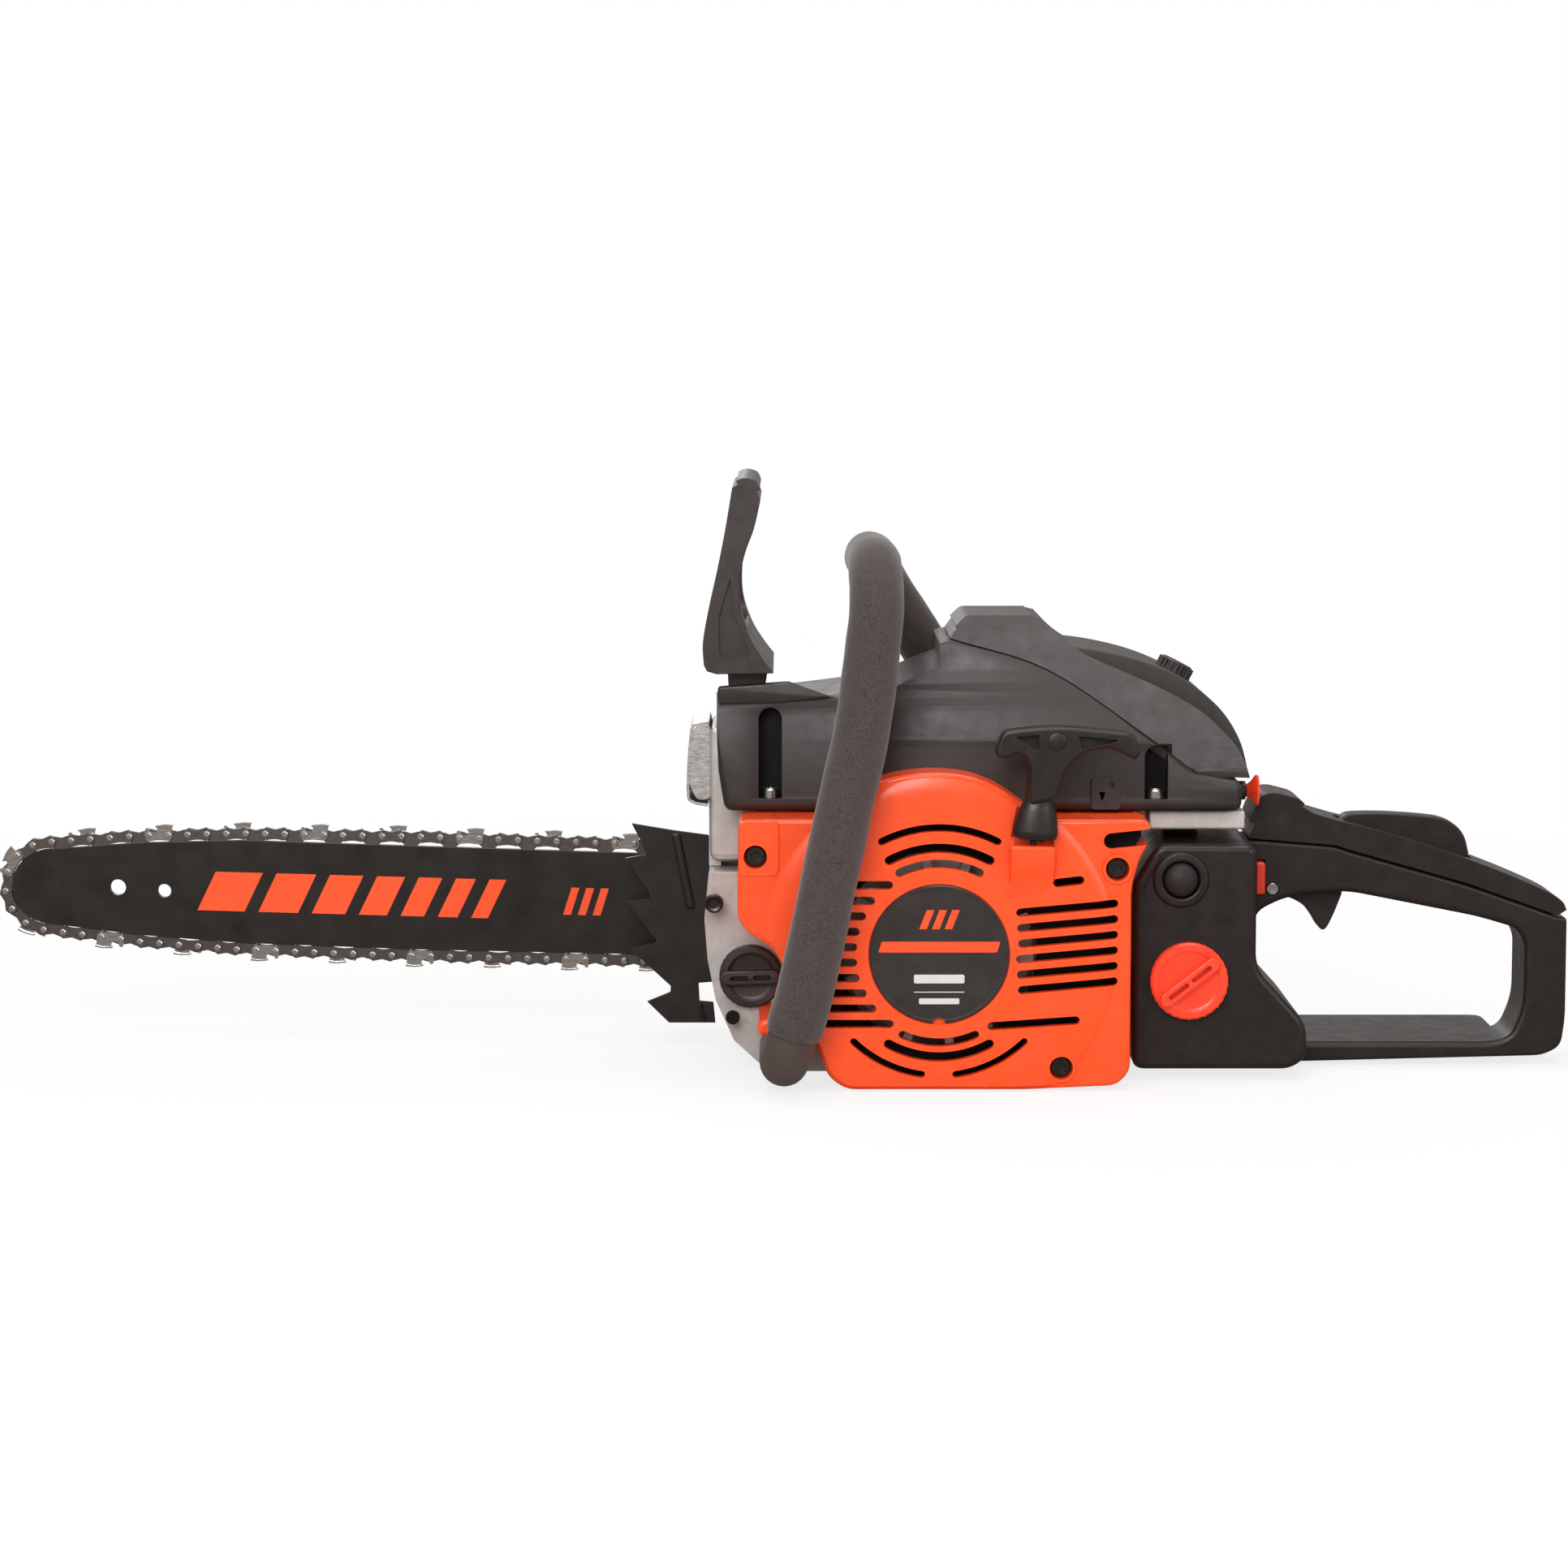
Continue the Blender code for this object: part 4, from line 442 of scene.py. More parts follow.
def ellipse(centre, radii, steps=40, start=0.0, sweep=360.0):
    count = steps if sweep >= 360 else steps + 1
    return [
        (
            centre[0] + radii[0] * math.cos(math.radians(start + sweep * index / steps)),
            centre[1] + radii[1] * math.sin(math.radians(start + sweep * index / steps)),
        )
        for index in range(count)
    ]


def rounded_bar(start, end, width, steps=6):
    """The outline of a slot or bar with round ends."""
    along = math.degrees(math.atan2(end[1] - start[1], end[0] - start[0]))
    half = width / 2
    return ellipse(end, (half, half), steps, along - 90, 180) + ellipse(
        start, (half, half), steps, along + 90, 180
    )


def apply_modifiers(obj):
    activate(obj)
    for modifier in list(obj.modifiers):
        bpy.ops.object.modifier_apply(modifier=modifier.name)


def soften(obj, width, segments=2, angle=32, flat=True):
    """Rounds the sharp edges and shades the rest smooth."""
    bevel = obj.modifiers.new("edges", "BEVEL")
    bevel.width = width * MM
    bevel.segments = segments
    bevel.limit_method = "ANGLE"
    bevel.angle_limit = math.radians(angle)
    bevel.use_clamp_overlap = True
    bevel.harden_normals = False
    apply_modifiers(obj)
    return smooth(obj, flat=flat)


def smooth(obj, angle=38, flat=True):
    """Smooth shading over gentle edges, keeping large faces flat if asked."""
    activate(obj)
    bpy.ops.object.shade_smooth_by_angle(angle=math.radians(angle))
    if flat:
        weighted = obj.modifiers.new("flat_faces", "WEIGHTED_NORMAL")
        weighted.keep_sharp = True
        apply_modifiers(obj)
    return obj


def carve(obj, cutter, operation="DIFFERENCE"):
    """Cuts or joins one solid with another, which is used up."""
    before = obj.data.copy()
    for solver in ("MANIFOLD", "EXACT"):
        modifier = obj.modifiers.new("carve", "BOOLEAN")
        modifier.object = cutter
        modifier.operation = operation
        modifier.solver = solver
        apply_modifiers(obj)
        if obj.data.vertices and len(obj.data.vertices) != len(before.vertices):
            break
        obj.data = before.copy()
    else:
        raise ValueError(f"{cutter.name} changed nothing on {obj.name}")
    bpy.data.meshes.remove(before)
    bpy.data.objects.remove(cutter)
    return obj


def gather(name, pieces):
    """Several loose meshes as one piece."""
    activate(pieces[0], *pieces[1:])
    bpy.ops.object.join()
    obj = bpy.context.active_object
    obj.name = name
    return obj


def dress(obj, finish):
    obj.data.materials.clear()
    obj.data.materials.append(MATERIALS[finish])
    return obj


def fit(obj, finish, slot, body, *replaced):
    """Gives a finished piece its material and body, and hides what it stands for."""
    obj.data.name = obj.name
    if finish:
        dress(obj, finish)
    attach(obj, body)
    if replaced:
        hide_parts(*replaced)
    return obj


def body_of(node):
    return frame["nodes"][node]["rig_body"]


def slot_of(node):
    for entry in frame["record"]["subparts"]:
        if entry["node"] == node:
            return entry["material_slot"]
    raise ValueError(f"no slot for {node}")


def shell_of(node):
    """A clean copy of a CAD node's mesh, with its doubles merged and flat faces made whole."""
    deselect()
    source = frame["nodes"][node]
    obj = source.copy()
    obj.data = source.data.copy()
    for key in [key for key in obj.keys() if key.startswith("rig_")]:
        del obj[key]
    obj.parent = None
    obj.matrix_world = Matrix.Identity(4)
    bpy.context.scene.collection.objects.link(obj)
    obj.name = f"{node}_finished"
    obj.hide_render = False
    activate(obj)
    bpy.ops.object.mode_set(mode="EDIT")
    bpy.ops.mesh.select_all(action="SELECT")
    bpy.ops.mesh.remove_doubles(threshold=0.00002)
    bpy.ops.mesh.dissolve_limited(angle_limit=math.radians(1.2))
    bpy.ops.object.mode_set(mode="OBJECT")
    return obj


def refine(node, finish, width, segments=2):
    """A CAD shell with its edges rounded, standing for that shell."""
    obj = soften(shell_of(node), width, segments)
    return fit(obj, finish, slot_of(node), body_of(node), node)


# ---------------------------------------------------------------- settings


class ChainsawSettings(bpy.types.PropertyGroup):
    """Colours and sizes that a user may change before building."""

    orange: bpy.props.FloatVectorProperty(
        name="Cover orange", description="Colour of the starter and clutch covers",
        default=(0.93, 0.074, 0.008), subtype="COLOR", min=0, max=1,
    )
    red: bpy.props.FloatVectorProperty(
        name="Control red", description="Colour of the choke knob and stop switch",
        default=(0.72, 0.035, 0.012), subtype="COLOR", min=0, max=1,
    )
    cover: bpy.props.FloatVectorProperty(
        name="Cover black", description="Colour of the cylinder and filter covers",
        default=(0.0165, 0.0105, 0.0085), subtype="COLOR", min=0, max=1,
    )
    tank: bpy.props.FloatVectorProperty(
        name="Tank black", description="Colour of the tank and rear handle",
        default=(0.0145, 0.0092, 0.0075), subtype="COLOR", min=0, max=1,
    )
    foam: bpy.props.FloatVectorProperty(
        name="Foam grey", description="Colour of the front handle's foam grip",
        default=(0.041, 0.031, 0.028), subtype="COLOR", min=0, max=1,
    )
    rivet_pairs: bpy.props.IntProperty(
        name="Drive links", description="Number of drive links in the saw chain",
        default=52, min=40, max=72,
    )


def settings():
    return bpy.context.scene.chainsaw


# ---------------------------------------------------------------- stage


class CHAINSAW_OT_stage(bpy.types.Operator):
    """Floor, studio lamps, world and camera"""

    bl_idname = "chainsaw.stage"
    bl_label = "Stage"

    def execute(self, context):
        scene = context.scene
        scene.view_settings.view_transform = "Standard"
        self.floor()
        self.world(scene)
        for lamp in LAMPS:
            self.lamp(*lamp)
        x, z = CAMERA_AIM
        target = at(x, 0, z)
        back, up = CAMERA_DISTANCE * math.cos(CAMERA_TILT), CAMERA_DISTANCE * math.sin(CAMERA_TILT)
        place = at(x, -back, z + up)
        bpy.ops.object.camera_add(location=place)
        camera = context.active_object
        camera.name = "camera"
        camera.rotation_euler = (target - place).to_track_quat("-Z", "Y").to_euler()
        camera.data.sensor_width = 36
        camera.data.lens = CAMERA_LENS
        camera.data.clip_end = 50
        scene.camera = camera
        return {"FINISHED"}

    def floor(self):
        deselect()
        bpy.ops.mesh.primitive_plane_add(size=14, location=(0, 0, -0.0004))
        floor = bpy.context.active_object
        floor.name = "floor"
        floor.data.materials.append(self.paper("floor_white", 0.8))

    def paper(self, name, white):
        """Pale diffuse floor that reads as white to the camera and keeps the shadow."""
        material = bpy.data.materials.new(name)
        material.use_nodes = True
        nodes, links = material.node_tree.nodes, material.node_tree.links
        nodes.clear()
        output = nodes.new("ShaderNodeOutputMaterial")
        rays = nodes.new("ShaderNodeLightPath")
        place = nodes.new("ShaderNodeTexCoord")
        diffuse = fresh(nodes, "ShaderNodeBsdfDiffuse", Color=(white, white, white, 1))
        glow = fresh(nodes, "ShaderNodeEmission", Color=(1, 1, 1, 1))
        dim = fresh(nodes, "ShaderNodeEmission", Color=(1.0, 0.88, 0.8, 1), Strength=0.24)
        limits = {"From_Min": 0.35, "From_Max": 1.1, "To_Min": 0.8, "To_Max": 1.0}
        fade = fresh(nodes, "ShaderNodeMapRange", **limits)
        lower, mix = nodes.new("ShaderNodeMixShader"), nodes.new("ShaderNodeMixShader")
        share, reach = nodes.new("ShaderNodeMath"), nodes.new("ShaderNodeVectorMath")
        share.operation, reach.operation = "MULTIPLY", "LENGTH"
        for source, target in (
            (place.outputs["Object"], reach.inputs[0]),
            (reach.outputs["Value"], fade.inputs["Value"]),
            (fade.outputs["Result"], share.inputs[1]),
            (rays.outputs["Is Camera Ray"], share.inputs[0]),
            (share.outputs[0], mix.inputs["Fac"]),
            (rays.outputs["Is Glossy Ray"], lower.inputs["Fac"]),
            (diffuse.outputs[0], lower.inputs[1]),
            (dim.outputs[0], lower.inputs[2]),
            (lower.outputs[0], mix.inputs[1]),
            (glow.outputs[0], mix.inputs[2]),
            (mix.outputs[0], output.inputs["Surface"]),
        ):
            links.new(source, target)
        return material

    def world(self, scene):
        world = bpy.data.worlds.new("studio")
        scene.world = world
        world.use_nodes = True
        nodes, links = world.node_tree.nodes, world.node_tree.links
        nodes.clear()
        output = nodes.new("ShaderNodeOutputWorld")
        rays = nodes.new("ShaderNodeLightPath")
        soft = fresh(nodes, "ShaderNodeBackground", Color=(1.0, 0.965, 0.94, 1), Strength=0.45)
        white = fresh(nodes, "ShaderNodeBackground", Color=(1, 1, 1, 1), Strength=1.0)
        mix = nodes.new("ShaderNodeMixShader")
        links.new(rays.outputs["Is Camera Ray"], mix.inputs["Fac"])
        links.new(soft.outputs[0], mix.inputs[1])
        links.new(white.outputs[0], mix.inputs[2])
        links.new(mix.outputs[0], output.inputs["Surface"])

    def lamp(self, name, place, size, watts):
        bpy.ops.object.light_add(type="AREA", location=place)
        lamp = bpy.context.active_object
        lamp.name = name
        lamp.data.size = size
        lamp.data.energy = watts
        aim = Vector(LAMP_AIM) - Vector(place)
        lamp.rotation_euler = aim.to_track_quat("-Z", "Y").to_euler()


# ---------------------------------------------------------------- CAD shells


SHELLS = (
    ("crankcase_left", "cast", 0.9, 2),
    ("crankcase_right", "cast", 0.9, 2),
    ("clutch_cover", "orange", 1.6, 3),
    ("muffler", "cast", 1.2, 2),
    ("rear_bracket", "plate", 0.7, 2),
    ("guide_bar", "bar", 0.35, 2),
)
PLAIN = {
    "cylinder": "cast", "piston": "cast", "connecting_rod": "steel", "crankpin": "steel",
    "crankshaft_left": "steel", "crankshaft_right": "steel", "flywheel": "cast",
    "ignition_coil": "rubber", "spark_plug": "steel", "plug_boot": "rubber",
    "intake_boot": "rubber", "carburetor": "cast", "throttle_shaft": "steel",
    "choke_shaft": "steel", "air_filter": "felt", "starter_pulley": "rubber",
    "recoil_spring": "steel", "clutch_hub": "screw",
    "clutch_drum": "screw", "oil_pump_worm": "steel", "nose_sprocket": "steel",
    "tensioner_screw": "steel", "brake_band": "steel", "av_mount_lower": "rubber",
    "av_mount_upper": "rubber", "trigger_pin": "steel",
}


class CHAINSAW_OT_shells(bpy.types.Operator):
    """Rounded edges and finishes for the housings, and finishes for the works inside"""

    bl_idname = "chainsaw.shells"
    bl_label = "Housings"

    def execute(self, context):
        for node, finish in PLAIN.items():
            dress(frame["nodes"][node], finish)
        for node, finish, width, segments in SHELLS:
            refine(node, finish, width, segments)
        cover = bpy.data.objects["clutch_cover_finished"]
        corner = [(-135.0, 101.0), (-108.0, 101.0), (-98.0, 106.0), (-92.0, 116.0), (-135.0, 116.0)]
        carve(cover, panel("front_corner", corner, 30, 100))
        carve(
            cover,
            panel(
                "low_corner",
                [(-135.0, 10.0), (-108.0, 10.0), (-102.0, 24.0), (-108.0, 42.0), (-135.0, 42.0)],
                30, 100,
            ),
        )
        smooth(cover)
        self.spikes()
        return {"FINISHED"}

    def spikes(self):
        """The toothed bumper plate with its bent edge."""
        teeth = [
            (-129.7, 110.8), (-150.5, 114.3), (-144.2, 102.0), (-143.3, 98.5), (-154.0, 96.7),
            (-141.6, 79.1), (-142.0, 75.9), (-153.9, 74.5), (-138.1, 54.8), (-139.3, 53.3),
            (-151.7, 50.5), (-131.1, 31.4), (-131.3, 28.2), (-143.0, 23.4), (-132.0, 12.6),
        ]
        rear = [
            (-108.5, 12.6), (-109.5, 23.0), (-116.5, 23.6), (-117.0, 33.0), (-110.0, 33.5),
            (-104.0, 40.0), (-104.0, 103.0), (-112.0, 108.4),
        ]
        plate = panel("spike_plate_finished", teeth + rear, 40.2, 42.8)
        for line, reach in (
            (((-128.4, 109.6), (-120.8, 71.4)), 4.4), (((-116.4, 22.6), (-114.4, 13.4)), 2.2)
        ):
            (x, z), (far_x, far_z) = line
            bend = panel(
                "bend",
                [
                    (x - reach / 2, z), (x + reach / 2, z), (far_x + reach / 2, far_z),
                    (far_x - reach / 2, far_z),
                ],
                37.4, 41,
            )
            carve(plate, soften(bend, 1.3, 3, 40), "UNION")
        soften(plate, 0.3, 2)
        fit(plate, "spike", "black_steel", "saw_body", "spike_plate")


# ---------------------------------------------------------------- chain and bar


def bar_edge_path(rise):
    """The chain's closed run (distance, rise) at a height over the bar's edge."""
    nose = BAR_TIP - NOSE_RADIUS
    upper = [(distance, half + rise) for distance, half in BAR_SIDES]
    tip = [
        (
            nose + (NOSE_RADIUS + rise) * math.cos(math.radians(angle)),
            (NOSE_RADIUS + rise) * math.sin(math.radians(angle)),
        )
        for angle in range(84, -85, -6)
    ]
    lower = [(distance, -half) for distance, half in reversed(upper)]
    wheel = 15.2 + rise
    sprocket = [
        (wheel * math.cos(math.radians(angle)), wheel * math.sin(math.radians(angle)))
        for angle in range(285, 74, -10)
    ]
    return upper + tip + lower + sprocket


def walk(path, count):
    """Evenly spaced points round a closed path."""
    closed = path + path[:1]
    lengths = [math.dist(a, b) for a, b in zip(closed, closed[1:])]
    total = sum(lengths)
    places = []
    index, passed = 0, 0.0
    for step in range(count):
        target = total * step / count
        while passed + lengths[index] < target:
            passed += lengths[index]
            index += 1
        share = (target - passed) / lengths[index]
        a, b = closed[index], closed[index + 1]
        places.append((a[0] + (b[0] - a[0]) * share, a[1] + (b[1] - a[1]) * share))
    return places


STRAP = ((-7.0, 0.0), (-6.2, 2.2), (-4.4, 3.2), (-2.2, 2.6), (0.0, 2.1), (2.2, 2.6), (4.4, 3.2),
         (6.2, 2.2), (7.0, 0.0), (6.2, -2.2), (4.4, -3.2), (2.2, -2.8), (0.0, -2.6), (-2.2, -2.8),
         (-4.4, -3.2), (-6.2, -2.2))
DRIVE = ((-6.8, 0.4), (-5.6, 2.6), (-3.0, 2.4), (0.0, 1.6), (3.0, 2.4), (5.6, 2.6), (6.8, 0.4),
         (5.9, -2.4), (3.6, -4.0), (1.6, -8.2), (-0.4, -8.6), (-3.4, -4.4), (-5.9, -2.4))
CUTTER = ((-7.2, -0.6), (-7.0, 2.4), (-7.4, 4.4), (-4.0, 4.8), (0.8, 4.3), (0.2, 3.0), (0.9, 1.7),
          (2.6, 1.4), (4.0, 2.2), (5.0, 3.9), (6.3, 3.6), (6.8, 1.4), (6.6, -1.0), (5.6, -2.9),
          (2.2, -2.6), (0.0, -2.4), (-2.2, -2.6), (-5.8, -2.9))


class CHAINSAW_OT_chain(bpy.types.Operator):
    """Saw chain: drive links, tie straps, cutters and rivets"""

    bl_idname = "chainsaw.chain"
    bl_label = "Saw chain"

    def execute(self, context):
        pairs = settings().rivet_pairs
        rivets = walk(bar_edge_path(3.6), pairs * 2)
        kinds = {"chain_drive_links": [], "chain_straps": [], "chain_cutters": []}
        for index, (a, b) in enumerate(zip(rivets, rivets[1:] + rivets[:1])):
            middle = ((a[0] + b[0]) / 2, (a[1] + b[1]) / 2)
            heading = math.atan2(b[1] - a[1], b[0] - a[0])
            link = index // 2
            if index % 2 == 0:
                kinds["chain_drive_links"].append((DRIVE, middle, heading, -0.65, 0.65))
            else:
                for side in (-1, 1):
                    low, high = sorted((side * 0.8, side * 1.9))
                    cutting = link % 2 == 0 and (link // 2) % 2 == (side + 1) // 2
                    kind, outline = (
                        "chain_cutters", CUTTER
                    ) if cutting else ("chain_straps", STRAP)
                    kinds[kind].append((outline, middle, heading, low, high))
        pieces = {name: self.links(name, rows) for name, rows in kinds.items()}
        pieces["chain_rivets"] = self.rivets(rivets)
        for (name, obj), finish in zip(pieces.items(), ("strap", "strap", "chrome", "steel")):
            replaced = ("saw_chain",) if name == "chain_straps" else ()
            fit(obj, finish, "chain_steel", "bar", *replaced)
        return {"FINISHED"}

    def links(self, name, rows):
        cutting = name == "chain_cutters"
        pieces = []
        for outline, middle, heading, low, high in rows:
            placed = [self.turned(point, middle, heading) for point in outline]
            pieces.append(
                panel(name, [bar_point(*point)
                for point in placed], BAR_PLANE + low, BAR_PLANE + high)
            )
            if cutting:
                pieces.append(self.top_plate(middle, heading, low, high))
        return smooth(gather(name, pieces), 30)

    def turned(self, point, middle, heading):
        """A link's own outline point (along, out) placed on the run."""
        along, out = point
        return (
            middle[0] + along * math.cos(heading) - out * math.sin(heading),
            middle[1] + along * math.sin(heading) + out * math.cos(heading),
        )

    def top_plate(self, middle, heading, low, high):
        """The cutter's top, bent over towards the other side, and its working corner."""
        inner, outer = (-0.6, high + 0.9) if high > 0 else (low - 0.9, 0.6)
        outline = [(-7.4, 4.2), (-7.5, 5.1), (-3.6, 5.4), (1.3, 4.8), (0.8, 4.2), (-4.0, 4.7)]
        placed = [self.turned(point, middle, heading) for point in outline]
        return panel(
            "top", [bar_point(*point) for point in placed], BAR_PLANE + inner, BAR_PLANE + outer
        )

    def rivets(self, places):
        pieces = []
        for place in places:
            x, z = bar_point(*place)
            profile = [(0, -2.35), (1.1, -2.35), (1.7, -2.0), (1.7, 2.0), (1.1, 2.35), (0, 2.35)]
            pieces.append(lathe("rivet", profile, (x, BAR_PLANE, z), ACROSS, 10))
        return smooth(gather("chain_rivets", pieces), 30)


class CHAINSAW_OT_bar_trim(bpy.types.Operator):
    """Plain slanted stripes on the guide bar and its nose rivets"""

    bl_idname = "chainsaw.bar_trim"
    bl_label = "Bar trim"

    def execute(self, context):
        near = BAR_PLANE - 2.12
        corners = []
        lean = 9.0
        edge, width, gap = 372.0, 24.0, 7.0
        while edge > 232.0:
            far = edge - width
            corners.append([(edge, -10), (far, -10), (far - lean, 10), (edge - lean, 10)])
            edge -= width + gap
            width *= 0.84
        for edge in (186.0, 178.5, 171.0):
            corners.append([(edge, -7), (edge - 4, -7), (edge - 8, 7), (edge - 4, 7)])
        outlines = [[bar_point(*corner) for corner in row] for row in corners]
        stripes = [panel("stripe", outline, near, near + 0.3) for outline in outlines]
        fit(gather("bar_stripes", stripes), "stripe", "bar_paint", "bar")
        nose = BAR_TIP - NOSE_RADIUS
        rivets = []
        for index in range(5):
            turn = math.radians(72 * index + 10)
            x, z = bar_point(nose + 7.6 * math.cos(turn), 7.6 * math.sin(turn))
            rivets.append(drum("rivet", (x, BAR_PLANE - 2.15, z), ACROSS, 1.1, 4.3, 16))
        fit(gather("bar_nose_rivets", rivets), "screw", "bar_paint", "bar")
        return {"FINISHED"}


# ---------------------------------------------------------------- starter side


def filleted(points, radius, steps=5):
    """An outline with its corners rounded."""
    result = []
    for index, corner in enumerate(points):
        before = Vector(points[index - 1])
        after = Vector(points[(index + 1) % len(points)])
        corner = Vector(corner)
        back, on = before - corner, after - corner
        reach = min(radius, back.length * 0.45, on.length * 0.45)
        start = corner + back.normalized() * reach
        end = corner + on.normalized() * reach
        for step in range(steps + 1):
            share = step / steps
            point = start * (1 - share) ** 2 + corner * 2 * share * (1 - share) + end * share**2
            result.append((point.x, point.y))
    return result


def inset(points, amount):
    """An outline moved inwards by an amount, whichever way round it runs."""
    area = sum(a[0] * b[1] - b[0] * a[1] for a, b in zip(points, points[1:] + points[:1]))
    side = 1 if area > 0 else -1
    moved = []
    for index, point in enumerate(points):
        before, after = Vector(points[index - 1]), Vector(points[(index + 1) % len(points)])
        here = Vector(point)
        normals = []
        for a, b in ((before, here), (here, after)):
            edge = (b - a).normalized()
            normals.append(Vector((-edge.y, edge.x)) * side)
        middle = (normals[0] + normals[1]).normalized()
        stretch = min(2.0, 1 / max(0.3, middle.dot(normals[0])))
        moved.append(tuple(here + middle * amount * stretch))
    return moved


def arc_bar(centre, radius, width, start, end, steps=18):
    """The outline of a curved slot with round ends."""
    half = width / 2

    def on(reach, angle):
        turn = math.radians(angle)
        return centre[0] + reach * math.cos(turn), centre[1] + reach * math.sin(turn)

    outer = [on(radius + half, start + (end - start) * i / steps) for i in range(steps + 1)]
    inner = [on(radius - half, end + (start - end) * i / steps) for i in range(steps + 1)]
    far = ellipse(on(radius, end), (half, half), 5, end, 180)[1:-1]
    near = ellipse(on(radius, start), (half, half), 5, start + 180, 180)[1:-1]
    return outer + far + inner + near


COVER_OUTLINE = (
    (-95.4, 131.6), (-95.8, 84.0), (-91.0, 77.5), (-78.5, 69.5), (-73.2, 60.0), (-71.5, 44.0),
    (-76.0, 36.5), (-86.0, 34.8), (-86.5, 28.0), (-60.0, 27.0), (-52.5, 7.5), (-44.0, 1.6),
    (41.0, 1.6), (85.0, 3.6), (91.4, 10.5), (91.3, 99.0), (95.0, 113.0), (99.8, 121.0),
    (100.1, 131.6),
)
DOME_OUTLINE = (
    (-54.0, 120.0), (-49.5, 134.0), (-38.0, 146.0), (-22.0, 152.2), (-4.0, 154.2), (14.0, 152.6),
    (28.0, 147.0), (40.5, 138.0), (48.5, 128.0), (50.0, 120.0),
)
SCREWS = {
    "cover_screw_front": (-87.3, 113.8),
    "cover_screw_rear": (84.4, 108.0),
    "cover_screw_low": (58.4, 12.5),
}
GRIP = (43.6, -90.0, 122.6)
GRIP_TILT = math.radians(11)
CENTRE = (0.0, CRANK_Z)
CROWN = 2.2


